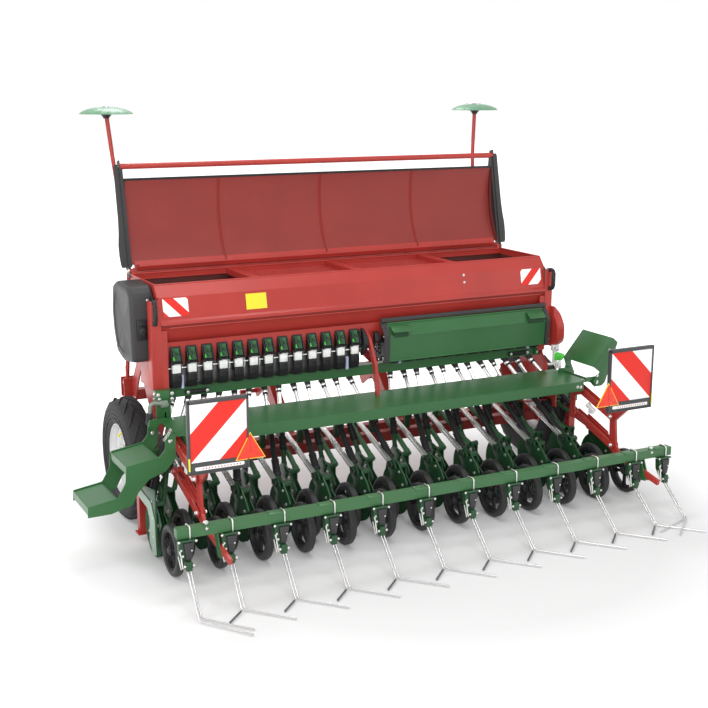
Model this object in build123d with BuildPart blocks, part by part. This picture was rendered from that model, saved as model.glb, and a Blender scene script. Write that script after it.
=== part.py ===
"""Three-metre mechanical seed drill with a following harrow.

Frame: millimetres, +X to the machine's right, +Y forward in the direction of travel, +Z up.
The origin lies on the ground, on the centre line, under the axle of the rear press wheels.
"""
import os
from math import cos, hypot, radians, sin

from build123d import *

os.makedirs("parts", exist_ok=True)

# --- Driving dimensions -------------------------------------------------------------------
hopper_half = 1262         # half width over the hopper's side walls
row_count = 25
row_overhang = 178         # from the hopper's side wall out to the outermost seed row
row_half = hopper_half + row_overhang
row_pitch = 2 * row_half / (row_count - 1)
row_stagger = 185          # the odd rows stand this much further forward
running_gap = 0.05         # radial clearance of a shaft in its bore
side_gap = 6               # beside anything that turns or swings

hopper_wall = 4
rim_z = 1370
rim_front_y = 1160
rim_rear_y = 720
floor_z = 1040
floor_front_y = 790
floor_rear_y = 690

side_plate_wall = 8
side_plate_out = hopper_half + side_plate_wall

platform_half = side_plate_out + 52
platform_rear_y = 228
platform_front_y = 590
platform_z = 658
platform_wall = 4

tyre_radius = 352
tyre_width = 150
tyre_wall = 147            # from the rim's edge out to the tread
rim_radius = tyre_radius - tyre_wall
tyre_in = side_plate_out + 35
tyre_out = tyre_in + tyre_width
axle_y, axle_z = 935, tyre_radius

leg_half = 22              # the parking legs stand just behind the tyres
leg_x = side_plate_out + 159
leg_y = axle_y - tyre_radius - leg_half - 8
stub_radius = 25

press_radius = 135
press_width = 45
press_bolt = 8
disc_radius = 145
disc_z = disc_radius + 2
disc_ahead = press_radius + disc_radius + side_gap   # hub ahead of the press wheel axle

beam_rear_y, beam_front_y = 715, 900
beam_z = 340
beam_size = 60

harrow_y, harrow_z, harrow_size = -287, 334, 50
arm_pin = 12
arm_x = side_plate_out + 33   # middle of the harrow's linkage on each side
harrow_half = arm_x + 210
arm_gap_half = 14          # inside half width between an arm's two cheeks
arm_cheek = 6
lower_front, lower_rear = (316, 441), (-43, 327)
link_up = (13, 174)        # from a lower pin to the upper pin above it

SIDES = (-1, 1)


def span(side, inner, outer):
    """The X range between two distances from the centre line, on one side of it."""
    return (inner, outer) if side > 0 else (-outer, -inner)


def block(x, y, z):
    """A box between low and high values on each axis."""
    with Locations(((x[0] + x[1]) / 2, (y[0] + y[1]) / 2, (z[0] + z[1]) / 2)):
        Box(x[1] - x[0], y[1] - y[0], z[1] - z[0])


def cheek(outline, x):
    """A plate lying along the machine: a (Y, Z) outline between two X values."""
    with BuildSketch(Plane.YZ.offset(x[0])) as face:
        Polygon(*outline, align=None)
    extrude(face.sketch, amount=x[1] - x[0])


def cross_plate(outline, y):
    """A plate lying across the machine: an (X, Z) outline between two Y values."""
    with BuildSketch(Plane.XZ.offset(-y[0])) as face:
        Polygon(*outline, align=None)
    extrude(face.sketch, amount=-(y[1] - y[0]))


def rod(start, end, radius, mode=Mode.ADD):
    """A round bar from one point to another."""
    way = Vector(*end) - Vector(*start)
    with BuildSketch(Plane(origin=start, z_dir=way)) as face:
        Circle(radius)
    extrude(face.sketch, amount=way.length, mode=mode)


def bent_rod(points, radius):
    """A round bar through several points, with ball corners."""
    for start, end in zip(points, points[1:]):
        rod(start, end, radius)
    for corner in points[1:-1]:
        with Locations(corner):
            Sphere(radius)


def cross_pin(x, y, z, radius, mode=Mode.ADD):
    """A round pin or bore along X."""
    rod((x[0], y, z), (x[1], y, z), radius, mode)


def row_x(row):
    """Distance of a seed row from the centre line."""
    return -row_half + row * row_pitch


def row_y(row):
    """Where a row's press wheel axle stands: even rows behind, odd rows in front."""
    return row_stagger * (row % 2)


# --- Hopper -------------------------------------------------------------------------------
# Folded sheet trough: an upper rear panel under a sloping strip, a fold, a lower panel that
# runs in to the metering housings, a narrow floor and a sloping front wall.
fold_y, fold_z = 638, 1162
strip_y, strip_z = 668, 1308
front_bend_z = 1230
trough = [
    (rim_front_y, rim_z),
    (rim_front_y, front_bend_z),
    (floor_front_y, floor_z),
    (floor_rear_y, floor_z),
    (fold_y, fold_z),
    (strip_y, strip_z),
    (rim_rear_y, rim_z),
]
with BuildPart() as seed_hopper:
    with BuildSketch(Plane.YZ.offset(-hopper_half)):
        Polygon(*trough, align=None)
    extrude(amount=2 * hopper_half)
    with BuildSketch(Plane.YZ.offset(-hopper_half + hopper_wall)):
        with BuildSketch(mode=Mode.PRIVATE) as inside:
            Polygon(*trough, align=None)
            offset(amount=-hopper_wall, kind=Kind.INTERSECTION)
        add(inside.sketch)
        with Locations((((rim_front_y + rim_rear_y) / 2), rim_z)):
            Rectangle(rim_front_y - rim_rear_y - 2 * hopper_wall, 4 * hopper_wall)
    extrude(amount=2 * (hopper_half - hopper_wall), mode=Mode.SUBTRACT)
seed_hopper.part.label = "seed_hopper"
export_step(seed_hopper.part, "parts/seed_hopper.step")

# Three channels tie the front and rear rims together.
brace_pitch = 650
brace_width, brace_depth = 60, 34
brace_y = (rim_rear_y + hopper_wall, rim_front_y - hopper_wall)
brace_z = (rim_z - brace_depth - 4, rim_z - 4)
with BuildPart() as hopper_braces:
    for middle in (-brace_pitch, 0, brace_pitch):
        block((middle - brace_width / 2, middle + brace_width / 2), brace_y, brace_z)
        inner = brace_width / 2 - 4
        with Locations((middle, (brace_y[0] + brace_y[1]) / 2, brace_z[0] - 4 + brace_depth / 2)):
            Box(2 * inner, brace_y[1] - brace_y[0], brace_depth, mode=Mode.SUBTRACT)
hopper_braces.part.label = "hopper_braces"
export_step(hopper_braces.part, "parts/hopper_braces.step")

# A slatted sieve lies across the two middle bays, on the front and rear walls.
sieve_z = 1255
sieve_bar = 6
sieve_y = (662.5, rim_front_y - hopper_wall)
with BuildPart() as hopper_sieves:
    for side in SIDES:
        x = span(side, brace_width / 2, brace_pitch - brace_width / 2)
        for y in (sieve_y[0], 825, 990, sieve_y[1] - sieve_bar):
            block(x, (y, y + sieve_bar), (sieve_z, sieve_z + sieve_bar))
        for slat in range(11):
            start = x[0] + 4 + slat * (x[1] - x[0] - 8 - sieve_bar) / 10
            block((start, start + sieve_bar), sieve_y, (sieve_z, sieve_z + sieve_bar))
hopper_sieves.part.label = "hopper_sieves"
export_step(hopper_sieves.part, "parts/hopper_sieves.step")

# An upright grip on each rear corner.
grip_x, grip_y = hopper_half - 15, 618
grip_radius = 11
grip_z = (1180, 1290)
with BuildPart() as hopper_grips:
    for side in SIDES:
        rod((side * grip_x, grip_y, grip_z[0]), (side * grip_x, grip_y, grip_z[1]), grip_radius)
        for z in grip_z:
            wall_y = fold_y + (z - fold_z) * (strip_y - fold_y) / (strip_z - fold_z)
            rod((side * grip_x, grip_y - 2, z), (side * grip_x, wall_y - 2.4, z), grip_radius)
hopper_grips.part.label = "hopper_grips"
export_step(hopper_grips.part, "parts/hopper_grips.step")

# Moulded plastic covers over the drive at both ends.
cover_out = side_plate_out + 71
side_cover = [
    (770, 1310), (985, 1366), (1190, 1285), (1220, 1235), (1180, 1200), (1150, 1080),
    (1108, 1000), (1112, 955), (1055, 922), (975, 915), (712, 955),
]
with BuildPart() as side_covers:
    for side in SIDES:
        cheek(side_cover, span(side, side_plate_out, cover_out))
    outer = side_covers.edges().filter_by_position(Axis.X, -cover_out - 1, -cover_out + 1)
    outer += side_covers.edges().filter_by_position(Axis.X, cover_out - 1, cover_out + 1)
    chamfer(outer, length=14)
side_covers.part.label = "side_covers"
export_step(side_covers.part, "parts/side_covers.step")

# --- Lid ----------------------------------------------------------------------------------
# A bowed sheet hinged on the front rim. It is drawn closed and turned open about its hinge.
hinge_y, hinge_z = rim_front_y + 8, rim_z + 16
lid_open = 101.5
lid_reach = 530
lid_bow = 62
lid_wall = 3
plate_in = side_plate_out - 5
plate_out = plate_in + 6
lid_way = (0, cos(radians(-lid_open)), sin(radians(-lid_open)))
open_plane = Plane(origin=(0, hinge_y, hinge_z), x_dir=lid_way, z_dir=(1, 0, 0))


def lid_section(half):
    """The lid's own plane, one half width to the left: local X forward, local Y up."""
    return open_plane.offset(-half)


with BuildPart() as lid_panel:
    with BuildSketch(lid_section(plate_in)):
        with BuildLine():
            near, far = (0, 0), (-lid_reach, 0)
            ThreePointArc(near, (-lid_reach / 2, lid_bow), far)
            Line(far, (-lid_reach, lid_wall))
            ThreePointArc((-lid_reach, lid_wall), (-lid_reach / 2, lid_bow + lid_wall), (0, lid_wall))
            Line((0, lid_wall), near)
        make_face()
    extrude(amount=2 * plate_in)
    for start in (-plate_in, plate_in - 34):
        with BuildSketch(open_plane.offset(start)):
            Rectangle(72, 60)
        extrude(amount=34, mode=Mode.SUBTRACT)
lid_panel.part.label = "lid_panel"
export_step(lid_panel.part, "parts/lid_panel.step")

pipe_reach, pipe_rise, pipe_radius = 602, 8, 17
with BuildPart() as lid_side_plates:
    for start in (-plate_out, plate_in):
        with BuildSketch(open_plane.offset(start)):
            with BuildLine():
                Line((40, -8), (-636, -8))
                Line((-636, -8), (-636, 30))
                ThreePointArc((-636, 30), (-330, 96), (30, 30))
                Line((30, 30), (40, -8))
            make_face()
            Circle(8 + running_gap, mode=Mode.SUBTRACT)
        extrude(amount=plate_out - plate_in)
lid_side_plates.part.label = "lid_side_plates"
export_step(lid_side_plates.part, "parts/lid_side_plates.step")

with BuildPart() as lid_grab_pipe:
    with BuildSketch(lid_section(plate_in)):
        with Locations((-pipe_reach, pipe_rise + 2)):
            Circle(pipe_radius)
    extrude(amount=2 * plate_in)
lid_grab_pipe.part.label = "lid_grab_pipe"
export_step(lid_grab_pipe.part, "parts/lid_grab_pipe.step")

# Hinge lugs on the hopper's ends, with the pins that the lid's side plates turn on.
with BuildPart() as lid_hinges:
    for side in SIDES:
        lug = ((-8, -56), (-8, -14), (4, 12), (22, 12), (22, -56))
        x = span(side, hopper_half - 22, hopper_half - 4)
        cheek([(hinge_y + dy, hinge_z + dz) for dy, dz in lug], x)
        cross_pin(span(side, hopper_half - 4, plate_out + 5), hinge_y, hinge_z, 8)
lid_hinges.part.label = "lid_hinges"
export_step(lid_hinges.part, "parts/lid_hinges.step")

# --- Metering -----------------------------------------------------------------------------
left_first, left_last, left_count = 81 - hopper_half, -89, 13
outlet_pitch = (left_last - left_first) / (left_count - 1)
right_first, right_count = 189, 12
outlets = [left_first + outlet_pitch * i for i in range(left_count)]
outlets += [right_first + outlet_pitch * i for i in range(right_count)]
housing_half = 31
housing_low = 800
shaft_y, shaft_z, shaft_radius = 700, 905, 9
housing = [
    (648, floor_z), (760, floor_z), (765, 880), (752, housing_low), (660, housing_low),
    (636, 850), (632, 905), (640, 960),
]
with BuildPart() as metering_housings:
    for x in outlets:
        cheek(housing, (x - housing_half, x + housing_half))
    cross_pin((-hopper_half, hopper_half), shaft_y, shaft_z, shaft_radius + running_gap, Mode.SUBTRACT)
metering_housings.part.label = "metering_housings"
export_step(metering_housings.part, "parts/metering_housings.step")

# The shaft that turns all the metering rollers, its cog wheels and the two cam discs.
cam_x, cam_radius = 80, 105
cog_radius, cog_half = 40, 6
with BuildPart() as metering_drive:
    cross_pin((-hopper_half, hopper_half), shaft_y, shaft_z, shaft_radius)
    for i in (3, 4, 5):
        middle = outlets[i] + outlet_pitch / 2
        cross_pin((middle - cog_half, middle + cog_half), shaft_y, shaft_z, cog_radius)
    cross_pin((cam_x - 7, cam_x + 7), shaft_y, shaft_z, cam_radius)
    cross_pin((-30, -18), shaft_y, shaft_z, 0.8 * cam_radius)
metering_drive.part.label = "metering_drive"
export_step(metering_drive.part, "parts/metering_drive.step")

# Green rail under the housings, between the side plates.
rail_y, rail_depth = (692, 742), 60
with BuildPart() as outlet_rail:
    block((-hopper_half, hopper_half), rail_y, (housing_low - rail_depth, housing_low))
outlet_rail.part.label = "outlet_rail"
export_step(outlet_rail.part, "parts/outlet_rail.step")

# Hinged cover over the right-hand housings and the dark frames it hangs between.
cover_x = (118, hopper_half - 30)
cover_hinge_y, cover_hinge_z = 628, 1052
cover_wall = 4
cover_outline = [(626, 1048), (580, 985), (592, 832)]
with BuildPart() as metering_cover:
    with BuildSketch(Plane.YZ.offset(cover_x[0])):
        with BuildLine():
            Polyline(*cover_outline)
            offset(amount=cover_wall, side=Side.LEFT)
        make_face()
    extrude(amount=cover_x[1] - cover_x[0])
    cross_pin(cover_x, cover_hinge_y, cover_hinge_z, 6)
metering_cover.part.label = "metering_cover"
export_step(metering_cover.part, "parts/metering_cover.step")

frame_outline = [
    (632, 1062), (600, 1030), (572, 990), (582, 826), (612, 826), (612, 1000), (640, 1040),
]
with BuildPart() as cover_frame:
    for x in ((94, 112), (cover_x[1] + side_gap, cover_x[1] + 24)):
        cheek(frame_outline, x)
    block((94, cover_x[1] + 24), (632, 640), (1062, 1076))
    block((94, right_first - housing_half), (612, 650), (870, 940))
cover_frame.part.label = "cover_frame"
export_step(cover_frame.part, "parts/cover_frame.step")

# Flat stay from the hopper's underside down to the platform's front edge.
with BuildPart() as centre_stay:
    cheek([(690, floor_z), (720, floor_z), (640, 960), (560, 820), (530, platform_z),
           (500, platform_z), (530, 830), (612, 980)], (-9, 9))
centre_stay.part.label = "centre_stay"
export_step(centre_stay.part, "parts/centre_stay.step")

# --- Frame --------------------------------------------------------------------------------
# Two side plates carry the hopper, the beams, the wheels' stub axles and the platform.
side_plate = [
    (242, 654), (242, 575), (292, 560), (292, 415), (340, 415), (340, 560), (490, 560),
    (490, 436), (522, 436), (534, 478), (645, 478), (662, 300), (985, 300), (985, 430),
    (830, 600), (1060, 887),
    (1150, 1000), (1180, 1200), (655, 1200), (655, 760), (592, 690), (592, 654),
]
hose_pass = (592, 603)
hose_pass_radius = 42
post_x = hopper_half - 37
post_y, post_z = (640, 648), (780, 1130)
with BuildPart() as side_plates:
    for side in SIDES:
        cheek(side_plate, span(side, hopper_half, side_plate_out))
        block(span(side, post_x, side_plate_out), post_y, post_z)
        block(span(side, hopper_half, side_plate_out), (640, 660), post_z)
        hole = span(side, hopper_half - 50, side_plate_out + 50)
        cross_pin(hole, *hose_pass, hose_pass_radius, Mode.SUBTRACT)
        for pin_y, pin_z in (lower_front, (lower_front[0] + link_up[0], lower_front[1] + link_up[1])):
            cross_pin(span(side, side_plate_out, arm_x + arm_gap_half + arm_cheek + 8), pin_y, pin_z, arm_pin)
        cross_pin(span(side, side_plate_out, tyre_out - 35), axle_y, axle_z, stub_radius)
        cross_pin(span(side, side_plate_out, tyre_in - side_gap), axle_y, axle_z, 45)
side_plates.part.label = "side_plates"
export_step(side_plates.part, "parts/side_plates.step")

with BuildPart() as cross_beams:
    for y in (beam_rear_y, beam_front_y):
        block((-hopper_half, hopper_half), (y - beam_size / 2, y + beam_size / 2),
              (beam_z - beam_size / 2, beam_z + beam_size / 2))
cross_beams.part.label = "cross_beams"
export_step(cross_beams.part, "parts/cross_beams.step")

# Headstock: two raked members from the front beam, an upper cross tube that also carries the
# row markers, and the three-point linkage frame.
headstock_x = 380
upper_y, upper_z, upper_half = 1250, 640, hopper_half - 22
link_y, link_z = 1440, 520
top_link_y, top_link_z = 1440, 1060
lower_pin_out, lower_pin_radius = 500, 14
top_bore, top_ear_in, top_ear_out = 12.75, 28, 40
marker_pivot = (hopper_half + 4, 1306, 700)
with BuildPart() as headstock:
    for side in SIDES:
        x = span(side, headstock_x - 30, headstock_x + 30)
        cheek([(beam_front_y + 30, 310), (beam_front_y + 30, 370), (upper_y - 30, upper_z + 30),
               (upper_y + 30, upper_z + 30), (upper_y + 30, upper_z - 60)], x)
        x = span(side, headstock_x - 8, headstock_x + 8)
        cheek([(upper_y, upper_z - 30), (upper_y, upper_z + 30), (link_y, link_z + 60),
               (link_y + 35, link_z), (link_y, link_z - 40)], x)
        cross_pin(span(side, headstock_x, lower_pin_out), link_y, link_z, lower_pin_radius)
        foot = (side * headstock_x, upper_y, upper_z + 20)
        rod(foot, (side * 34, top_link_y - 20, top_link_z - 20), 26)
        cheek([(top_link_y - 60, top_link_z - 60), (top_link_y + 30, top_link_z - 40),
               (top_link_y + 30, top_link_z + 40), (top_link_y - 60, top_link_z + 40)],
              span(side, top_ear_in, top_ear_out))
    block((-upper_half, upper_half), (upper_y - 30, upper_y + 30), (upper_z - 30, upper_z + 30))
    block((-top_ear_in, top_ear_in), (top_link_y - 60, top_link_y - 40), (top_link_z - 50, top_link_z + 30))
    cross_pin((-60, 60), top_link_y, top_link_z, top_bore, Mode.SUBTRACT)
headstock.part.label = "headstock"
export_step(headstock.part, "parts/headstock.step")

# Two stays from the headstock's top back to the hopper's front wall, and two from the upper
# cross tube to the side plates.
with BuildPart() as hopper_stays:
    for side in SIDES:
        x = span(side, 46, 58)
        cheek([(rim_front_y, 1240), (rim_front_y, 1310), (top_link_y - 45, top_link_z + 30),
               (top_link_y - 60, top_link_z - 30)], x)
        cheek([(1060, 880), (1100, 940), (1280, 700), (1280, 610), (1220, 610)],
              span(side, upper_half, upper_half + 8))
        block(span(side, upper_half, hopper_half), (1060, 1100), (884, 892))
hopper_stays.part.label = "hopper_stays"
export_step(hopper_stays.part, "parts/hopper_stays.step")

# --- Platform and steps -------------------------------------------------------------------
step_x, step_z, step_pin = platform_half + 39, 644, 10
step_y = (216, leg_y - leg_half - 11)
step_wall = 5
step_bore = step_pin + running_gap
fascia_half = side_plate_out + 6
with BuildPart() as platform:
    block((-platform_half, platform_half), (platform_rear_y, platform_front_y),
          (platform_z - platform_wall, platform_z))
    block((-fascia_half, fascia_half), (platform_rear_y, platform_rear_y + platform_wall), (600, platform_z))
    block((7 - hopper_half, hopper_half - 7), (platform_front_y - platform_wall, platform_front_y),
          (632, platform_z))
    for side in SIDES:
        lug = [(side * (step_x + dx), z) for dx, z in
               ((-71, 657), (-71, 682), (23, 682), (30, 644), (0, 616), (-28, 644), (-28, 657))]
        for y in (platform_rear_y, step_y[1] - step_wall - side_gap - 8):
            cross_plate(lug, (y, y + 8))
        for start, end in ((platform_rear_y + 8, step_y[0] - 4), (step_y[1] - 19, step_y[1] + 5)):
            rod((side * step_x, start, step_z), (side * step_x, end, step_z), step_pin)
platform.part.label = "platform"
export_step(platform.part, "parts/platform.step")

# Left step, folded out: two side plates with two sheet treads between them.
step_outline = [
    (-26, 672), (0, 680), (27, 664), (31, 600), (63, 560), (239, 532), (245, 446),
    (289, 372), (447, 348), (449, 294), (329, 296), (217, 326), (182, 390),
    (121, 452), (33, 482), (-21, 540),
]
treads = (((63, 556), (239, 528)), ((289, 368), (447, 344)))
with BuildPart() as step_left:
    for y in (step_y[0], step_y[1] - step_wall):
        cross_plate([(-step_x - dx, z) for dx, z in step_outline], (y, y + step_wall))
        rod((-step_x, y - 1, step_z), (-step_x, y + step_wall + 1, step_z), step_bore, Mode.SUBTRACT)
    for (dx0, z0), (dx1, z1) in treads:
        x0, x1 = step_x + dx0, step_x + dx1
        tread = [(-x0, z0), (-x1, z1), (-x1, z1 - 38), (-x1 + 5, z1 - 38), (-x1 + 5, z1 - 6), (-x0, z0 - 6)]
        cross_plate(tread, (step_y[0] + step_wall, step_y[1] - step_wall))
step_left.part.label = "step_left"
export_step(step_left.part, "parts/step_left.step")

# Right end flap, folded up: one tread on two legs.
flap_outline = [(-16, 616), (21, 616), (31, 644), (11, 716), (151, 880), (169, 912),
                (136, 908), (-19, 728), (-27, 672), (-28, 640)]
flap_tread = [(-19, 726), (136, 906), (169, 912), (167, 906), (140, 900), (-15, 722)]
with BuildPart() as step_right:
    for y in (step_y[0], step_y[1] - step_wall):
        cross_plate([(step_x + dx, z) for dx, z in flap_outline], (y, y + step_wall))
        rod((step_x, y - 1, step_z), (step_x, y + step_wall + 1, step_z), step_bore, Mode.SUBTRACT)
    cross_plate([(step_x + dx, z) for dx, z in flap_tread], (step_y[0] + step_wall, step_y[1] - step_wall))
step_right.part.label = "step_right"
export_step(step_right.part, "parts/step_right.step")

# --- Parking legs -------------------------------------------------------------------------
leg_low, leg_high = 37, 516
foot_half, foot_wall = 34, 8
sleeve_wall = 6
sleeve_z = (450, 510)
bracket_z = (480, 502)
with BuildPart() as leg_sleeves:
    for side in SIDES:
        reach = leg_half + 1 + sleeve_wall
        block(span(side, leg_x - reach, leg_x + reach), (leg_y - reach, leg_y + reach), sleeve_z)
        hole = leg_half + 1
        with Locations((side * leg_x, leg_y, sum(sleeve_z) / 2)):
            Box(2 * hole, 2 * hole, 100, mode=Mode.SUBTRACT)
        block(span(side, side_plate_out, leg_x - reach), (leg_y - leg_half, leg_y + leg_half), bracket_z)
leg_sleeves.part.label = "leg_sleeves"
export_step(leg_sleeves.part, "parts/leg_sleeves.step")

for side, name in ((-1, "parking_leg_left"), (1, "parking_leg_right")):
    with BuildPart() as parking_leg:
        block((side * leg_x - leg_half, side * leg_x + leg_half), (leg_y - leg_half, leg_y + leg_half),
              (leg_low, leg_high))
        block((side * leg_x - foot_half, side * leg_x + foot_half), (leg_y - foot_half, leg_y + foot_half),
              (leg_low, leg_low + foot_wall))
    parking_leg.part.label = name
    export_step(parking_leg.part, f"parts/{name}.step")

# --- Ground-drive wheels ------------------------------------------------------------------
tyre_half = (tyre_out - tyre_in) / 2
tyre_mid = (tyre_out + tyre_in) / 2
for side, word in ((-1, "left"), (1, "right")):
    middle = side * tyre_mid
    with BuildPart() as tyre:
        with BuildSketch(Plane.XY):
            with BuildLine():
                Polyline((middle - 50, rim_radius), (middle - tyre_half, rim_radius + 50),
                         (middle - tyre_half, tyre_radius - 45), (middle - tyre_half + 18, tyre_radius - 8),
                         (middle - 30, tyre_radius), (middle + 30, tyre_radius),
                         (middle + tyre_half - 18, tyre_radius - 8), (middle + tyre_half, tyre_radius - 45),
                         (middle + tyre_half, rim_radius + 50), (middle + 50, rim_radius), close=True)
            make_face()
        revolve(axis=Axis.X)
    tyre_part = tyre.part.moved(Location((0, axle_y, axle_z)))
    tyre_part.label = f"tyre_{word}"
    export_step(tyre_part, f"parts/tyre_{word}.step")

    with BuildPart() as rim:
        cross_pin((middle - 55, middle + 55), axle_y, axle_z, rim_radius)
        cross_pin((middle - 56, middle + 56), axle_y, axle_z, rim_radius - 12, Mode.SUBTRACT)
        web = side * (tyre_mid - 10)
        cross_pin((web - 5, web + 5), axle_y, axle_z, rim_radius - 11)
        cross_pin(span(side, tyre_in + 12, tyre_out - 28), axle_y, axle_z, 55)
        stub_hole = span(side, tyre_in, tyre_out - 34)
        cross_pin(stub_hole, axle_y, axle_z, stub_radius + running_gap, Mode.SUBTRACT)
    rim.part.label = f"rim_{word}"
    export_step(rim.part, f"parts/rim_{word}.step")

# --- Row markers --------------------------------------------------------------------------
marker_top = (marker_pivot[0], 1519, 2262)
marker_disc_radius, marker_disc_z = 158, 2297
marker_tube = 18
with BuildPart() as marker_brackets:
    for side in SIDES:
        px, py, pz = marker_pivot
        for y in (py - 26, py + 34):
            block(span(side, px - 50, px + 30), (y, y + 6), (upper_z - 25, pz + 30))
        block(span(side, px - 50, px + 30), (py - 26, py + 40), (upper_z - 25, upper_z - 17))
        rod((side * px, py - 26, pz), (side * px, py + 46, pz), 10)
marker_brackets.part.label = "marker_brackets"
export_step(marker_brackets.part, "parts/marker_brackets.step")

for side, word in ((-1, "left"), (1, "right")):
    px, py, pz = marker_pivot
    top = (side * marker_top[0], marker_top[1], marker_top[2])
    with BuildPart() as marker_arm:
        rod((side * px, py - 12, pz), (side * px, py + 20, pz), 26)
        rod((side * px, py + 3, pz), top, marker_tube)
        rod(top, (top[0], top[1], marker_disc_z + 14), 9)
        rod((top[0], top[1], top[2] - 10), (top[0], top[1], top[2] + 12), 20)
        rod((side * px, py - 20, pz), (side * px, py + 24, pz), 10 + running_gap, Mode.SUBTRACT)
    marker_arm.part.label = f"marker_arm_{word}"
    export_step(marker_arm.part, f"parts/marker_arm_{word}.step")

    with BuildPart() as marker_disc:
        with Locations((top[0], top[1], marker_disc_z)):
            Cylinder(marker_disc_radius, 5)
            Cylinder(34, 26)
            Cylinder(9 + running_gap, 40, mode=Mode.SUBTRACT)
    marker_disc.part.label = f"marker_disc_{word}"
    export_step(marker_disc.part, f"parts/marker_disc_{word}.step")

# --- Seed tubes and hoses -----------------------------------------------------------------
# Each outlet sends its seed down a straight line to the funnel of its coulter.
outlet_y, outlet_z = 713, housing_low - rail_depth
funnel_ahead, funnel_z = disc_ahead + 44, 308
hose_start = 0.42          # where the rubber hose takes over from the steel tube
tube_radius, hose_radius = 10, 15


def seed_line(row):
    """Both ends of a row's seed line: its outlet and its coulter's funnel."""
    return Vector(outlets[row], outlet_y, outlet_z), Vector(row_x(row), row_y(row) + funnel_ahead, funnel_z)


def along(row, share):
    """A point on a row's seed line, as a share of the way down."""
    start, end = seed_line(row)
    return tuple(start + (end - start) * share)


socket_share, collar_share = 0.1, 0.86
with BuildPart() as outlet_sockets:
    for row in range(row_count):
        x = outlets[row]
        rod((x, outlet_y, outlet_z), (x, outlet_y, outlet_z - 16), 17)
        rod(along(row, 0.035), along(row, socket_share), 15)
outlet_sockets.part.label = "outlet_sockets"
export_step(outlet_sockets.part, "parts/outlet_sockets.step")

with BuildPart() as seed_tubes:
    for row in range(row_count):
        rod(along(row, socket_share), along(row, hose_start), tube_radius)
seed_tubes.part.label = "seed_tubes"
export_step(seed_tubes.part, "parts/seed_tubes.step")

with BuildPart() as seed_hoses:
    for row in range(row_count):
        rod(along(row, hose_start), along(row, 1), hose_radius)
        rod(along(row, collar_share), along(row, 1), hose_radius + 5)
seed_hoses.part.label = "seed_hoses"
export_step(seed_hoses.part, "parts/seed_hoses.step")

# --- Coulters -----------------------------------------------------------------------------
# Drag arms: bright steel on the rear row, painted on the front row. Each starts beside its
# coulter's head. The outermost arms crank inwards behind the ground-drive wheels: the last one
# of the front row passes between the side plates, the last one of the rear row ends on them.
arm_radius = 12
arm_start_y, arm_start_z = disc_ahead - 19.7, 336
arm_pivot_y, arm_pivot_z = 700, 495
inner_crank_x = hopper_half - 62
side_pivot = (side_plate_out + 22, 494, 455)


def arm_offset(row):
    """How far beside its coulter a drag arm lies: towards the centre line, clear of the hoses."""
    if row in (0, row_count - 1):
        return 46 if row == 0 else -46
    if row in (16, 17):
        return 35 if row == 16 else -46
    return 70 if row < 16 else -70


def drag_arm(row):
    """The points of one drag arm, from its coulter forward to its pivot."""
    x = row_x(row) + arm_offset(row)
    outward = 1 if x > 0 else -1
    start = (x, row_y(row) + arm_start_y, arm_start_z)
    bend = (x, row_y(row) + arm_start_y + 22, arm_start_z + 8)
    end_y = row_y(row) + arm_pivot_y
    if row in (0, row_count - 1):
        return [start, bend, (outward * side_pivot[0], side_pivot[1], side_pivot[2])]
    if row in (1, row_count - 2):
        crank = outward * inner_crank_x
        return [start, bend, (crank, 600, 391), (crank, end_y, arm_pivot_z)]
    return [start, (x, end_y, arm_pivot_z)]


with BuildPart() as drag_arms_rear:
    for row in range(0, row_count, 2):
        bent_rod(drag_arm(row), arm_radius)
drag_arms_rear.part.label = "drag_arms_rear"
export_step(drag_arms_rear.part, "parts/drag_arms_rear.step")

with BuildPart() as drag_arms_front:
    for row in range(1, row_count, 2):
        bent_rod(drag_arm(row), arm_radius)
drag_arms_front.part.label = "drag_arms_front"
export_step(drag_arms_front.part, "parts/drag_arms_front.step")

# Pivot brackets that stand on the beams, or on the side plates, and hold the drag arms' ends.
bracket_gap = 4.3
with BuildPart() as arm_brackets:
    for row in range(row_count):
        x, y, z = drag_arm(row)[-1]
        if row in (0, row_count - 1):
            block(span(1 if x > 0 else -1, side_plate_out, side_plate_out + 36),
                  (y + bracket_gap + 3, y + bracket_gap + 23), (z - 15, z + 20))
        else:
            block((x - 16, x + 16), (y + bracket_gap, y + bracket_gap + 24), (beam_z + beam_size / 2, z + 16))
arm_brackets.part.label = "arm_brackets"
export_step(arm_brackets.part, "parts/arm_brackets.step")

# Coulter bodies: a side plate from the head past the disc hub to the press wheel axle, with a
# socket under the seed hose and a lug that the drag arm starts from.
plate_x = (28, 36)
body_outline = [(-18, press_radius - 17), (-18, press_radius + 17)] + [
    (disc_ahead + dy, disc_z + dz) for dy, dz in (
        (-166, 43), (-61, 103), (-50, 199), (-24, 199), (-22, 153), (59, 145), (106, 103),
        (94, 23), (44, -35), (-36, -39), (-136, -27))
]
with BuildPart() as coulter_bodies:
    for row in range(row_count):
        x, y = row_x(row), row_y(row)
        cheek([(y + dy, z) for dy, z in body_outline], (x + plate_x[0], x + plate_x[1]))
        cross_pin((x - 26, x + plate_x[0]), y, press_radius, press_bolt)
        cross_pin((x - 18, x + plate_x[0]), y + disc_ahead, disc_z, 24)
        reach = arm_offset(row)
        lug = (x + reach - 14, x + plate_x[0]) if reach < 0 else (x + plate_x[0], x + reach + 14)
        block(lug, (y + disc_ahead - 48, y + disc_ahead - 24), (arm_start_z - 10, arm_start_z + 10))
        rod(along(row, 1), along(row, 1.022), 14)
        block((x - 4, x + plate_x[0]), (y + funnel_ahead - 10, y + funnel_ahead + 4),
              (funnel_z - 18.5, funnel_z - 12.5))
coulter_bodies.part.label = "coulter_bodies"
export_step(coulter_bodies.part, "parts/coulter_bodies.step")

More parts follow.
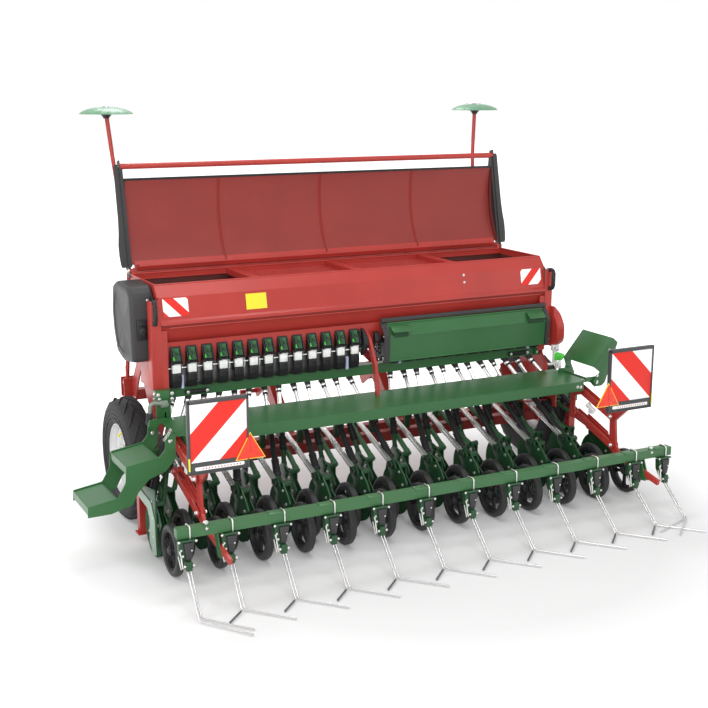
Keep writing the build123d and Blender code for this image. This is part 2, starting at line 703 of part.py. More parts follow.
disc_half, disc_wall = 6, 3
with BuildPart() as coulter_discs:
    for row in range(row_count):
        x, y = row_x(row), row_y(row) + disc_ahead
        for start in (x - disc_half - disc_wall, x + disc_half):
            cross_pin((start, start + disc_wall), y, disc_z, disc_radius)
            cross_pin((start - 1, start + disc_wall + 1), y, disc_z, 24.3, Mode.SUBTRACT)
coulter_discs.part.label = "coulter_discs"
export_step(coulter_discs.part, "parts/coulter_discs.step")

for first, word in ((0, "rear"), (1, "front")):
    with BuildPart() as press_wheels:
        for row in range(first, row_count, 2):
            x, y = row_x(row), row_y(row)
            cross_pin((x - press_width / 2, x + press_width / 2), y, press_radius, press_radius)
            for start in (x - press_width / 2, x + 5):
                pocket = (start, start + press_width / 2 - 5)
                cross_pin(pocket, y, press_radius, press_radius - 32, Mode.SUBTRACT)
            cross_pin((x - press_width / 2, x + press_width / 2), y, press_radius, 22)
            cross_pin((x - 30, x + 30), y, press_radius, press_bolt + running_gap, Mode.SUBTRACT)
    press_wheels.part.label = f"press_wheels_{word}"
    export_step(press_wheels.part, f"parts/press_wheels_{word}.step")

# --- Following harrow ---------------------------------------------------------------------
cheeks = ((arm_x - arm_gap_half - arm_cheek, arm_x - arm_gap_half),
          (arm_x + arm_gap_half, arm_x + arm_gap_half + arm_cheek))


def linkage_arm(front, rear, rear_clearance):
    """One arm of the linkage on each side: two cheeks joined by a web over their middle."""
    run, drop = rear[0] - front[0], rear[1] - front[1]
    length = hypot(run, drop)
    for side in SIDES:
        for low, high in cheeks:
            x = span(side, low, high)
            with BuildSketch(Plane(origin=(x[0], *front), x_dir=(0, run, drop), z_dir=(1, 0, 0))) as face:
                with Locations((length / 2, 0)):
                    SlotCenterToCenter(length, 44)
                Circle(arm_pin + running_gap, mode=Mode.SUBTRACT)
                with Locations((length, 0)):
                    Circle(arm_pin + rear_clearance, mode=Mode.SUBTRACT)
            extrude(face.sketch, amount=arm_cheek)
        x = span(side, cheeks[0][1], cheeks[1][0])
        with BuildSketch(Plane(origin=(x[0], *front), x_dir=(0, run, drop), z_dir=(1, 0, 0))) as face:
            with Locations((length / 2, 0)):
                Rectangle(length - 170, 6)
        extrude(face.sketch, amount=x[1] - x[0])


with BuildPart() as harrow_lower_arms:
    linkage_arm(lower_front, lower_rear, running_gap)
harrow_lower_arms.part.label = "harrow_lower_arms"
export_step(harrow_lower_arms.part, "parts/harrow_lower_arms.step")

upper_front = (lower_front[0] + link_up[0], lower_front[1] + link_up[1])
upper_rear = (lower_rear[0] + link_up[0], lower_rear[1] + link_up[1])
with BuildPart() as harrow_upper_arms:
    linkage_arm(upper_front, upper_rear, 0.8)
harrow_upper_arms.part.label = "harrow_upper_arms"
export_step(harrow_upper_arms.part, "parts/harrow_upper_arms.step")

# Posts: an upright between the two rear pins that runs on as a flat bar under the beam.
post_half = 8
post_outline = [
    (-8, 530), (-8, 480), (-18, 300), (-70, 262), (-452, 196), (-462, 226), (-110, 298), (-72, 330),
    (-58, 480), (-150, 560), (-195, 590), (-195, 640), (-60, 545),
]
with BuildPart() as harrow_posts:
    for side in SIDES:
        cheek(post_outline, span(side, arm_x - post_half, arm_x + post_half))
        for pin in (lower_rear, upper_rear):
            cross_pin(span(side, arm_x - 22, arm_x + 22), *pin, arm_pin)
harrow_posts.part.label = "harrow_posts"
export_step(harrow_posts.part, "parts/harrow_posts.step")

with BuildPart() as harrow_beam:
    half = harrow_size / 2
    block((-harrow_half, harrow_half), (harrow_y - half, harrow_y + half), (harrow_z - half, harrow_z + half))
    block((-harrow_half - 1, harrow_half + 1), (harrow_y - half + 4, harrow_y + half - 4),
          (harrow_z - half + 4, harrow_z + half - 4))
harrow_beam.part.label = "harrow_beam"
export_step(harrow_beam.part, "parts/harrow_beam.step")

# Paired hanger plates that bolt the beam to the posts' flat bars.
hanger = [(-260, 309), (-314, 309), (-360, 196), (-318, 190)]
with BuildPart() as beam_hangers:
    for side in SIDES:
        for low in (arm_x - post_half - 6, arm_x + post_half):
            cheek(hanger, span(side, low, low + 6))
beam_hangers.part.label = "beam_hangers"
export_step(beam_hangers.part, "parts/beam_hangers.step")

end_holder = harrow_half - 50
tine_pitch = (end_holder - 218.75) / 4.5
holders = [tine_pitch * (i - 4.5) for i in range(10)]
holders = [-end_holder] + holders + [end_holder]
holder_y = (-334, -262)
beam_under = harrow_z - harrow_size / 2
with BuildPart() as tine_holders:
    for x in holders:
        block((x - 42, x + 42), holder_y, (beam_under - 10, beam_under))
        cross_plate([(x - 34, beam_under - 10), (x + 34, beam_under - 10), (x + 16, 205), (x - 16, 205)],
                    (holder_y[0] + 4, holder_y[1] - 8))
        block((x - 22, x + 22), (holder_y[0] - 6, holder_y[1] - 12), (150, 205))
tine_holders.part.label = "tine_holders"
export_step(tine_holders.part, "parts/tine_holders.step")

# Spring tines: two straight legs from each holder, with a long tip one way and a short tip
# the other. The end holders turn both tips inwards.
tine_radius = 5
tine_floor = 6
leg_top_y, leg_top_z = -343.2, 166
leg_bend_y = -566
with BuildPart() as harrow_tines:
    for x in holders:
        end = (x > end_holder - 1) - (x < 1 - end_holder)
        long_tip = (-210, -180) if end > 0 else (168, -283)
        short_tip = {0: (-100, -90), -1: (150, -250), 1: (-250, -90)}[end]
        for start, bend, tip in ((-12, -49, short_tip), (12, -25, long_tip)):
            corner = (x + bend, leg_bend_y, tine_floor + 4)
            bent_rod([(x + start, leg_top_y, leg_top_z), corner,
                      (corner[0] + tip[0], corner[1] + tip[1], tine_floor)], tine_radius)
harrow_tines.part.label = "harrow_tines"
export_step(harrow_tines.part, "parts/harrow_tines.step")

# Warning boards with their lamp strips, behind the posts' upper ends.
board_x, board_y, board_z = (arm_x - 198, arm_x + 117), (-222, -204), (590, 960)
with BuildPart() as warning_boards:
    for side in SIDES:
        block(span(side, *board_x), board_y, board_z)
        block(span(side, arm_x - 40, arm_x + 40), (board_y[1], -195), (595, 640))
warning_boards.part.label = "warning_boards"
export_step(warning_boards.part, "parts/warning_boards.step")

# Triangular reflectors on the boards' inner lower corners.
with BuildPart() as board_triangles:
    for side in SIDES:
        cross_plate([(side * (board_x[0] + dx), z) for dx, z in ((75, 632), (-85, 632), (-5, 770))],
                    (-228, board_y[0]))
board_triangles.part.label = "board_triangles"
export_step(board_triangles.part, "parts/board_triangles.step")
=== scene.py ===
from math import cos, pi, radians, sin

import bmesh
import bpy
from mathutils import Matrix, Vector


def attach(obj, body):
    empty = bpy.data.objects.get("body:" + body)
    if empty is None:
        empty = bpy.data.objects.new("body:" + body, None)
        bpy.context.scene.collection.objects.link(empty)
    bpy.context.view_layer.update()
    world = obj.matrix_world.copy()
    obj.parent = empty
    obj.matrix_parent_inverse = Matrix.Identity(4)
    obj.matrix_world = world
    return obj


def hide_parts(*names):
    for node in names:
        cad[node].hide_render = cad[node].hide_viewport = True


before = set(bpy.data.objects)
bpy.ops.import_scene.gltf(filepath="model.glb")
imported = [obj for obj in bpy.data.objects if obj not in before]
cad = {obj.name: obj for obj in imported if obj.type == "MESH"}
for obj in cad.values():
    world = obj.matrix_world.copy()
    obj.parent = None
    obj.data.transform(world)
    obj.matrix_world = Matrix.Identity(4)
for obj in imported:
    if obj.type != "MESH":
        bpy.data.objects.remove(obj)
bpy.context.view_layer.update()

# --- Frame -------------------------------------------------------------------------------------
# Laser-cut side plates, square-tube beams and the headstock, welded and powder coated red.
# The flat stay in the middle carries the platform from the hopper's underside.
MM = 0.001
X, Y, Z = Vector((1, 0, 0)), Vector((0, 1, 0)), Vector((0, 0, 1))
BOTH, SIDES = (-1, 1), ((-1, "left"), (1, "right"))
PLATE_X = 1270


def wire(tree, node, values):
    """Sets a node's inputs, each to a value or to the output of another node."""
    for label, value in values.items():
        if isinstance(value, bpy.types.NodeSocket):
            tree.links.new(value, node.inputs[label])
        else:
            node.inputs[label].default_value = value


def add(tree, kind, values, **settings):
    """A new node with its settings and its inputs. Gives back its outputs."""
    node = tree.nodes.new(kind)
    for label, value in settings.items():
        setattr(node, label, value)
    wire(tree, node, values)
    return node.outputs


def ramp(tree, factor, colours, stops=(0, 1)):
    """A colour that runs between two others while a factor rises between two stops."""
    node = tree.nodes.new("ShaderNodeValToRGB")
    for element, stop, colour in zip(node.color_ramp.elements, stops, colours):
        element.position = stop
        element.color = (*colour, 1)
    wire(tree, node, {"Fac": factor})
    return node.outputs["Color"]


def surface(name, colour, rough, metallic=0.0, mottle=0.07, patch=4.0, grain=0.06,
            grain_size=420.0, coat=0.0):
    """A finish with slow colour and gloss changes over the part and a fine grain in its relief."""
    made = bpy.data.materials.new(name)
    made.use_nodes = True
    tree = made.node_tree
    where = add(tree, "ShaderNodeTexCoord", {})["Object"]
    patches = add(tree, "ShaderNodeTexNoise", {"Vector": where, "Scale": patch, "Detail": 4})["Fac"]
    shade = ramp(tree, patches, [[min(1, c * m) for c in colour] for m in (1 - mottle, 1 + mottle)],
                 (0.3, 0.7))
    gloss = add(tree, "ShaderNodeMapRange", {"Value": patches, "To Min": max(0.03, rough - 0.07),
                                             "To Max": min(1, rough + 0.07)})
    fine = add(tree, "ShaderNodeTexNoise", {"Vector": where, "Scale": grain_size, "Detail": 2})
    relief = add(tree, "ShaderNodeBump", {"Height": fine["Fac"], "Strength": grain, "Distance": 0.0006})
    wire(tree, tree.nodes["Principled BSDF"], {
        "Metallic": metallic, "Specular IOR Level": 0.5 if metallic else 0.32, "Coat Weight": coat,
        "Coat Roughness": 0.25, "Base Color": shade, "Roughness": gloss["Result"],
        "Normal": relief["Normal"]})
    return made


red = surface("red_coat", (0.395, 0.036, 0.028), 0.38, coat=0.12)
# A darker copy of the red, for the cross beams: painted shade for beams that stand in the machine's shadow.
shaded_red = surface("red_coat_painted_shade", (0.3, 0.035, 0.03), 0.45, coat=0.15)


def coat(material, *names):
    """Gives carried-over CAD nodes their finish."""
    for name in names:
        cad[name].data.materials.clear()
        cad[name].data.materials.append(material)


coat(red, "side_plates", "centre_stay", "marker_brackets", "hopper_stays", "headstock")
# The cross beams take the darker red of painted shade.
coat(shaded_red, "cross_beams")


def skin(bm, loops, ring=False):
    """Faces from loop to loop. The end loops are filled, or a ring's last loop meets its first."""
    loops = [[bm.verts.new(p) for p in loop] for loop in loops]
    count = max(map(len, loops))
    made = []
    for one, two in zip(loops, loops[1:] + loops[:1] if ring else loops[1:]):
        for k in range(count):
            m = (k + 1) % count
            corners = (one[k % len(one)], two[k % len(two)], two[m % len(two)], one[m % len(one)])
            made.append(bm.faces.new(list(dict.fromkeys(corners))))
    if not ring:
        made += [bm.faces.new(end) for end in (loops[0], loops[-1]) if len(end) > 2]
    bmesh.ops.recalc_face_normals(bm, faces=made)
    return made


def circle(middle, across, beside, radius, sides):
    """Points round a circle, or its middle alone if it has no radius."""
    turns = [2 * pi * k / sides for k in range(sides if radius else 1)]
    return [middle + radius * (across * cos(t) + beside * sin(t)) for t in turns]


def turned(bm, start, way, profile, sides=24, ring=False):
    """A turned part: (distance, radius) pairs along a direction. Its ends are filled, unless it
    is a ring, whose profile closes on itself."""
    way = Vector(way).normalized()
    across = way.orthogonal().normalized()
    if not ring:
        first, last = [[(run, 0)] * (radius > 0) for run, radius in (profile[0], profile[-1])]
        profile = first + profile + last
    skin(bm, [circle(Vector(start) + way * run, across, way.cross(across), radius, sides)
              for run, radius in profile], ring)


def mesh_of(drawn, name="part"):
    """The finished mesh, drawn in millimetres and kept in metres, smooth over its soft edges."""
    if not isinstance(drawn, bmesh.types.BMesh):
        return drawn
    bmesh.ops.scale(drawn, vec=(MM, MM, MM), verts=drawn.verts)
    made = bpy.data.meshes.new(name)
    drawn.to_mesh(made)
    drawn.free()
    made.shade_smooth()
    made.set_sharp_from_angle(angle=radians(38))
    return made


def new_tree(name, **inputs):
    """An empty Geometry Nodes tree with its named inputs, and what it is given."""
    tree = bpy.data.node_groups.new(name, "GeometryNodeTree")
    for label, kind in {"Unit": "Geometry", **inputs, "Material": "Material"}.items():
        tree.interface.new_socket(label, in_out="INPUT", socket_type="NodeSocket" + kind)
    tree.interface.new_socket("Made", in_out="OUTPUT", socket_type="NodeSocketGeometry")
    return tree, tree.nodes.new("NodeGroupInput").outputs


def close_tree(tree, given, points, **turn):
    """Puts the unit on every point, realizes the copies and gives them their finish."""
    put = add(tree, "GeometryNodeInstanceOnPoints", {"Points": points, "Instance": given["Unit"], **turn})
    real = add(tree, "GeometryNodeRealizeInstances", {"Geometry": put["Instances"]})
    dress = add(tree, "GeometryNodeSetMaterial", {"Geometry": real["Geometry"],
                                                  "Material": given["Material"]})
    wire(tree, tree.nodes.new("NodeGroupOutput"), {"Made": dress["Geometry"]})


def grown(tree, drawn, **values):
    """The mesh that a tree makes from one unit, with its inputs set by their identifiers."""
    carrier = bpy.data.objects.new("carrier", mesh_of(drawn))
    bpy.context.scene.collection.objects.link(carrier)
    growth = carrier.modifiers.new("grow", "NODES")
    growth.node_group = tree
    for socket in tree.interface.items_tree:
        if socket.in_out == "INPUT" and socket.name in values:
            growth[socket.identifier] = values[socket.name]
    graph = bpy.context.evaluated_depsgraph_get()
    made = bpy.data.meshes.new_from_object(carrier.evaluated_get(graph))
    bpy.data.objects.remove(carrier)
    return made


places_tree, given = new_tree("copies_at_places", Places="Object")
marks = add(places_tree, "GeometryNodeObjectInfo", {"Object": given["Places"]})
heading = add(places_tree, "GeometryNodeInputNamedAttribute", {"Name": "turn"}, data_type="FLOAT_VECTOR")
close_tree(places_tree, given, marks["Geometry"], Rotation=heading["Attribute"])


def copies(drawn, points, material, turns=None):
    """One unit, drawn round the origin, copied to points in millimetres and turned as told."""
    marks = bpy.data.meshes.new("marks")
    marks.from_pydata([Vector(p) * MM for p in points], [], [])
    turn = marks.attributes.new("turn", "FLOAT_VECTOR", "POINT")
    turn.data.foreach_set("vector", [angle for one in turns or [(0, 0, 0)] * len(points) for angle in one])
    holder = bpy.data.objects.new("marks", marks)
    bpy.context.scene.collection.objects.link(holder)
    made = grown(places_tree, drawn, Places=holder, Material=material)
    bpy.data.objects.remove(holder)
    return made


def fit(name, drawn, material, body="frame", hides=(), slot=None, at=None, turns=None):
    """Puts a piece, or copies of it, on its body, in place of the CAD nodes that it stands for."""
    mesh = copies(drawn, at, material, turns) if at else mesh_of(drawn, name)
    mesh.materials.clear()
    mesh.materials.append(material)
    piece = bpy.data.objects.new(name, mesh)
    bpy.context.scene.collection.objects.link(piece)
    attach(piece, body)
    if hides:
        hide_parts(*hides)


zinc = surface("zinc_plate", (0.62, 0.62, 0.6), 0.32, metallic=0.9, mottle=0.1, patch=40,
               grain=0.1)
FACING = {"rear": (pi / 2, 0, 0), "front": (-pi / 2, 0, 0), "left": (0, -pi / 2, 0),
          "right": (0, pi / 2, 0), "up": (0, 0, 0)}


def bolts(name, spots, across=15.0, body="frame"):
    """Hexagon bolts with washers: (x, y, z, way their heads face)."""
    unit = bmesh.new()
    turned(unit, (0, 0, 0), Z, [(-1, across * 0.8), (1.6, across * 0.8)], 12)
    turned(unit, (0, 0, 1.6), Z, [(0, across * 0.56), (across * 0.4, across * 0.56),
                                  (across * 0.46, across * 0.45)], 6)
    fit(name, unit, zinc, body, at=[s[:3] for s in spots], turns=[FACING[s[3]] for s in spots])


bolts("side_plate_bolts", [
    (side * PLATE_X, y, z, way) for side, way in SIDES
    for y, z in ((670, 380), (670, 330), (760, 325), (900, 325), (960, 380), (690, 1120), (1100, 1120),
                 (1120, 1170), (700, 720), (760, 560), (700, 540), (310, 600), (470, 600), (310, 470))])

# --- Hopper ------------------------------------------------------------------------------------
# One long trough folded from steel sheet. The upper rear panel laps over the lower one in a
# hemmed fold, and the rim is turned over all round. Film plates sit at its rear corners.
HALF, RIM_Z = 1262, 1370
BACK, FRONT = 722, 1158
coat(red, "seed_hopper", "hopper_braces", "hopper_sieves", "lid_hinges")


def soften(bm, edges, edge):
    """Rounds edges with a small bevel."""
    bmesh.ops.bevel(bm, geom=list(edges), offset=edge, segments=2, profile=0.5, affect="EDGES")


def block(bm, x, y, z, edge=0.0):
    """A box between low and high values on each axis, with its edges rounded."""
    made = bmesh.ops.create_cube(bm, size=1)["verts"]
    bmesh.ops.scale(bm, vec=[high - low for low, high in (x, y, z)], verts=made)
    bmesh.ops.translate(bm, vec=[(low + high) / 2 for low, high in (x, y, z)], verts=made)
    if edge:
        soften(bm, {e for v in made for e in v.link_edges}, edge)


def span(side, near, far):
    """Low and high x of a part on one side, from its near and far distance to the centre line."""
    return sorted((side * near, side * far))


def pair(bm, x, y, z, edge=0.0):
    """The same box on both sides of the centre line."""
    for side in BOTH:
        block(bm, span(side, *x), y, z, edge)


def plate(bm, outline, low, high, axis="X", edge=0.0):
    """A flat plate between two values on an axis, cut to an outline on the other two."""
    put = {"X": lambda d, a, b: (d, a, b), "Y": lambda d, a, b: (a, d, b)}[axis]
    faces = skin(bm, [[put(d, a, b) for a, b in outline] for d in (low, high)])
    if edge:
        soften(bm, {e for f in faces[-2:] for e in f.edges}, edge)


def curve(before, corner, after, radius, share, steps):
    """Points on the curve that rounds a corner, using no more than a share of either side."""
    before, corner, after = Vector(before), Vector(corner), Vector(after)
    reach = min(radius, (before - corner).length * share, (after - corner).length * share)
    first = corner + (before - corner).normalized() * reach
    last = corner + (after - corner).normalized() * reach
    return [first * (1 - t) ** 2 + corner * 2 * t * (1 - t) + last * t ** 2
            for t in (k / steps for k in range(steps + 1))]


def rounded(outline, radius, steps=4):
    """An outline with its corners rounded."""
    turns = zip(outline[-1:] + outline[:-1], outline, outline[1:] + outline[:1])
    return [tuple(p) for corner in turns for p in curve(*corner, radius, 0.48, steps)]


def bar(bm, start, end, radius, sides=16, edge=0.8):
    """A round bar between two points, with its end edges broken."""
    way = Vector(end) - Vector(start)
    run = way.length
    turned(bm, start, way, [(0, radius - edge), (edge, radius), (run - edge, radius),
                            (run, radius - edge)], sides)


def bent_bar(bm, points, radius, sides=12, bend=18.0, steps=5):
    """A round bar through several points, bent with an even radius at each corner."""
    points = [Vector(p) for p in points]
    bends = [p for corner in zip(points, points[1:], points[2:])
             for p in curve(*corner, bend, 1 / 2.1, steps)]
    path = [points[0], *bends, points[-1]]
    across = (path[1] - path[0]).orthogonal().normalized()
    loops = []
    for i, here in enumerate(path):
        way = (path[min(i + 1, len(path) - 1)] - path[max(i - 1, 0)]).normalized()
        across = (across - way * across.dot(way)).normalized()
        loops.append(circle(here, across, way.cross(across), radius, sides))
    skin(bm, loops)


def blanks(count):
    """Empty meshes to draw pieces in."""
    return [bmesh.new() for _ in range(count)]


def panel_y(z):
    """How far back the upper rear panel stands at a height."""
    return 638 + (z - 1162) * 30 / 146


trim = bmesh.new()
lap = [(645, 1188), (631, 1176), (629, 1160), (634, 1159), (636, 1174), (648, 1187)]
plate(trim, lap, -HALF, HALF, edge=0.8)
plate(trim, [(642, 1148), (633, 1147), (632, 1141), (644, 1138)], -HALF + 46, HALF - 46, edge=0.8)
for y, ledge in ((BACK, (724, 736)), (FRONT, (1144, 1156))):
    bar(trim, (-HALF, y, RIM_Z), (HALF, y, RIM_Z), 5, 10)
    block(trim, (-HALF + 4, HALF - 4), ledge, (1338, 1342), 0.6)
for side in BOTH:
    bar(trim, (side * (HALF - 3), BACK, RIM_Z), (side * (HALF - 3), FRONT, RIM_Z), 5, 10)
    plate(trim, [(668, 1310), (720, 1374), (1160, 1374), (1160, 1366), (722, 1366), (672, 1304)],
          side * HALF, side * (HALF + 6))
fit("hopper_hems", trim, red)

# Channels up the trough's ends: a flange that faces the rear and a web on the outside.
channel = bmesh.new()
for side in BOTH:
    plate(channel, [(side * x, z) for x, z in ((1258, 806), (1312, 806), (1315, 1296), (1258, 1300))],
          637, 642, "Y", 1)
    web = [(641, 806), (641, 1296), (700, 1296), (704, 960), (850, 930), (872, 806)]
    plate(channel, rounded(web, 8), *span(side, 1311, 1315), edge=0.8)
fit("end_channels", channel, red)

# Dark sheets that paint shade: a deep red strip in the fold under the lap, painted with the shadow the lap
# casts, and dark linings on the trough's floor, front wall and ends, painted with the shade inside the
# trough.
painted_gap_shade = surface("painted_gap_shadow", (0.2, 0.016, 0.011), 0.6)
gap = bmesh.new()
plate(gap, [(640, 1159), (635.5, 1158), (635.5, 1149), (640, 1147)], -HALF + 8, HALF - 8)
fit("hopper_lap_gap", gap, painted_gap_shade)
inside_shade = bmesh.new()
for x in ((-1256, -652), (664, 1256)):
    block(inside_shade, x, (724, 1152), (1216, 1222), 0.6)
    block(inside_shade, x, (1151, 1154), (1222, 1334), 0.6)
pair(inside_shade, (1255, 1258), (726, 1152), (1222, 1334), 0.6)
fit("hopper_dust", inside_shade, surface("painted_inside_shade", (0.09, 0.02, 0.017), 0.7, mottle=0.25,
                                 patch=6))

# Skirt under the trough, which the metering housings are bolted through.
skirt = bmesh.new()
fold = [(648, 1062), (652, 1062), (673, 934), (684, 934), (684, 930), (669, 930)]
plate(skirt, fold, -1225, 1225, edge=0.5)
fit("hopper_skirt", skirt, red)
bolts("hopper_bolts", [(x, panel_y(z) - 1, z, "rear") for x, z in ((670, 1299), (671, 1256))], 10)


def reckon(tree, operation, first, second):
    """The result of a math node."""
    return add(tree, "ShaderNodeMath", {0: first, 1: second}, operation=operation)[0]


def banded(name, stripe, low, high, rising, start, width, period):
    """White reflecting film with stripes at 45 degrees, placed by shares of the film's width."""
    made = surface(name, (0.96, 0.96, 0.96), 0.5, mottle=0.02, grain=0.25, grain_size=900)
    tree = made.node_tree
    spot = add(tree, "ShaderNodeSeparateXYZ", {0: tree.nodes["Texture Coordinate"].outputs["Object"]})
    wide = (high[0] - low[0]) * MM
    across = reckon(tree, "DIVIDE", reckon(tree, "SUBTRACT", spot["X"], low[0] * MM), wide)
    down = reckon(tree, "DIVIDE", reckon(tree, "SUBTRACT", high[1] * MM, spot["Z"]), wide)
    run = reckon(tree, "ADD" if rising else "SUBTRACT", across, down)
    share = reckon(tree, "FLOORED_MODULO", reckon(tree, "SUBTRACT", run, start), period)
    mix = add(tree, "ShaderNodeMix", {"Factor": reckon(tree, "LESS_THAN", share, width),
                                      "A": tree.nodes["Color Ramp"].outputs["Color"],
                                      "B": (*stripe, 1)}, data_type="RGBA")
    wire(tree, tree.nodes["Principled BSDF"], {"Base Color": mix["Result"]})
    return made


def film_on_panel(x, low, high, thick, edge):
    """A film plate that lies on the upper rear panel."""
    sheet = bmesh.new()
    plate(sheet, [(panel_y(low) - 0.5, low), (panel_y(high) - 0.5, high), (panel_y(high) - thick, high),
                  (panel_y(low) - thick, low)], *x, edge=edge)
    return sheet


SIGNAL = (0.7, 0.025, 0.016)
for word, x, z in (("left", (-1240, -1096), (1204, 1301)), ("right", (1085, 1235), (1208, 1304))):
    rising = word == "right"
    film = banded(f"corner_film_{word}", SIGNAL, (x[0], z[0]), (x[1], z[1]), rising,
                  0.56 if rising else 0.02, 0.42, 0.9)
    fit(f"corner_reflector_{word}", film_on_panel(x, *z, 3, 0.5), film)
yellow = surface("yellow_film", (0.76, 0.68, 0.03), 0.4, mottle=0.03, coat=0.3)
fit("yellow_plate", film_on_panel((-758, -634), 1207, 1293, 2, 0.4), yellow)

# Ribbed sieve sheet over the two middle bays, and the grips at the rear corners.
line_tree, given = new_tree("copies_in_a_line", Count="Int", Step="Vector")
row = add(line_tree, "GeometryNodeMeshLine", {"Count": given["Count"], "Offset": given["Step"]})
close_tree(line_tree, given, row["Mesh"])
for word, first in (("left", -620), ("right", 32)):
    rib, rails = blanks(2)
    block(rib, (first, first + 588), (702, 710), (1338, 1342), 1)
    fit(f"sieve_ribs_{word}", grown(line_tree, rib, Count=32, Step=(0.0, 14 * MM, 0.0), Material=red), red)
    for x in (first - 4, first + 290, first + 584):
        block(rails, (x, x + 8), (694, 1154), (1330, 1339), 1)
    fit(f"sieve_rails_{word}", rails, red)

black = surface("black_moulding", (0.014, 0.014, 0.015), 0.48, mottle=0.15, grain=0.12)
grips = bmesh.new()
for side in BOTH:
    bent_bar(grips, [(side * x, y, z) for x, y, z in ((1292, 640, 1176), (1299, 606, 1176),
                                                      (1299, 606, 1294), (1292, 640, 1294))], 10, 14, 16)
    turned(grips, (side * 1299, 606, 1190), Z, [(0, 11), (3, 13), (86, 13), (89, 11)], 16)
for z in ((1162, 1188), (1280, 1306)):
    pair(grips, (1280, 1308), (630, 637), z, 3)
fit("corner_grips", grips, black, hides=["hopper_grips"], slot="black_grip")

# --- End covers --------------------------------------------------------------------------------
# Rotation-moulded plastic covers over the chain drive at each end of the hopper: a rounded shell
# with a raised field, a black recess with its turning knob, and a darker face at the rear.
grey = surface("grey_moulding", (0.037, 0.037, 0.038), 0.5, mottle=0.1, patch=9, grain=0.3,
               grain_size=700)
COVER = [(724, 950), (742, 1322), (790, 1360), (985, 1370), (1070, 1336), (1100, 1200), (1085, 1080),
         (1030, 960), (900, 926)]
FOOT_Z, SHORTER = 926, 0.89
STEPS_OUT = ((0, 0), (0.84, 0), (0.94, 0.012), (0.985, 0.04), (1, 0.08), (1, 0.2), (0.96, 0.23), (0.96, 0.9))
shell, recess = blanks(2)
for side, far, height, middle in ((-1, 1398, 1, -1332), (1, 1346, SHORTER, 1308)):
    near = [Vector((0, y, FOOT_Z + (z - FOOT_Z) * height)) for y, z in rounded(COVER, 24)]
    centre = Vector((0, 910, 1150))
    skin(shell, [[p.lerp(centre, pull) + X * side * (PLATE_X + (far - PLATE_X) * out) for p in near]
                 for out, pull in STEPS_OUT])
    block(recess, (middle - 36, middle + 36), (724, 740), (1070, 1184), 7)
    turned(recess, (middle, 726, 1118), -Y, [(0, 27), (9, 27), (12, 23)], 24)
    block(recess, (middle - 6, middle + 6), (704, 716), (1094, 1142), 3)
    block(recess, (middle - 24, middle + 24), (716, 728), (1150, 1172), 4)
pair(recess, (1264, 1282), (716, 760), (950, 1306), 5)
fit("end_covers", shell, grey, hides=["side_covers"])
fit("end_cover_recesses", recess, black)
bolts("end_cover_bolts", [(side * 1300, y, z, "rear") for side in BOTH
                          for y, z in ((733, 985), (738, 1288))], 11)

# --- Lid ---------------------------------------------------------------------------------------
# A bowed sheet lid hinged on the front rim and standing open: four fields between three seams,
# a hem, a hinge tube, two side plates and the pipe that it is pulled down by.
HINGE, OPEN = Vector((0, 1168, 1386)), 101.5
CHORD, BOW = 265, 62
SEAMS = (-668, 0, 648)
ARC = [-30 - 496 * i / 24 for i in range(25)]
coat(red, "lid_grab_pipe")
# The lid gets a darker copy of the red: painted shade, as its inside faces down and away from the lights.
coat(surface("red_coat_lid_painted_shade", (0.25, 0.032, 0.026), 0.5, coat=0.05), "lid_panel")
graphite = surface("graphite_coat", (0.036, 0.036, 0.037), 0.5)
coat(graphite, "lid_side_plates", "cover_frame")


def on_lid(x, run, rise):
    """A point on the open lid, from its distance along the lid's chord and its height over it."""
    along = Vector((0, cos(radians(-OPEN)), sin(radians(-OPEN))))
    return HINGE + X * x + along * run + Vector((0, -along.z, along.y)) * rise


def bow(run):
    """Height of the sheet's inside over its chord."""
    radius = (CHORD ** 2 + BOW ** 2) / (2 * BOW)
    return (radius ** 2 - (run + CHORD) ** 2) ** 0.5 - (radius - BOW)


def lid_strip(bm, x, rise, runs):
    """A strip that follows the bow of the lid between two widths and two heights over the sheet."""
    corners = ((x[0], rise[0]), (x[1], rise[0]), (x[1], rise[1]), (x[0], rise[1]))
    skin(bm, [[on_lid(wide, run, bow(run) + h) for wide, h in corners] for run in runs])


seams, leaf, rod, dark_seam, hem, returns = blanks(6)
for x in SEAMS:
    lid_strip(seams, (x - 9, x - 5), (-5, 1), ARC)
    lid_strip(seams, (x + 5, x + 9), (-5, 1), ARC)
    lid_strip(seams, (x - 16, x + 16), (3, 5), ARC)
    # A dark strip down the middle of each seam: painted shade in the seam's groove.
    lid_strip(dark_seam, (x - 6, x + 6), (-6.2, 1), [-8] + ARC)
lid_strip(seams, (-1228, 1228), (-4.5, -2), [-34, -42, -50, -58])
plate(seams, [on_lid(0, run, rise)[1:] for run, rise in ((-22, -24), (-2, -12), (-2, -9), (-24, -20))],
      -1228, 1228, edge=0.6)
plate(leaf, [(1172, 1362), (1176, 1362), (1182, 1404), (1178, 1405)], -1242, 1242, edge=0.6)
for k in range(-6, 7):
    block(leaf, (k * 190 - 30, k * 190 + 30), (1168, 1180), (1372, 1380), 1)
low = on_lid(0, -24, -8)
bar(rod, low - X * 1195, low + X * 1195, 9, 20)
for x in (-1195, -600, 0, 600, 1195):
    bar(rod, low + X * (x - 16), low + X * (x + 16), 12, 20)
lid_strip(hem, (-1250, 1250), (-9, 6), [-519, -525, -531])
for side in BOTH:
    lid_strip(hem, (side * 1245 - 3, side * 1245 + 3), (-2, 3), ARC)
    widths = ((-612, 1296), (-600, 1302), (-300, 1304), (-220, 1308), (-150, 1316), (-90, 1316),
              (-40, 1312), (-22, 1306))
    skin(returns, [[on_lid(side * x, run, h) for x, h in ((1250, 1), (wide, 1), (wide, 5), (1250, 5))]
                   for run, wide in widths])
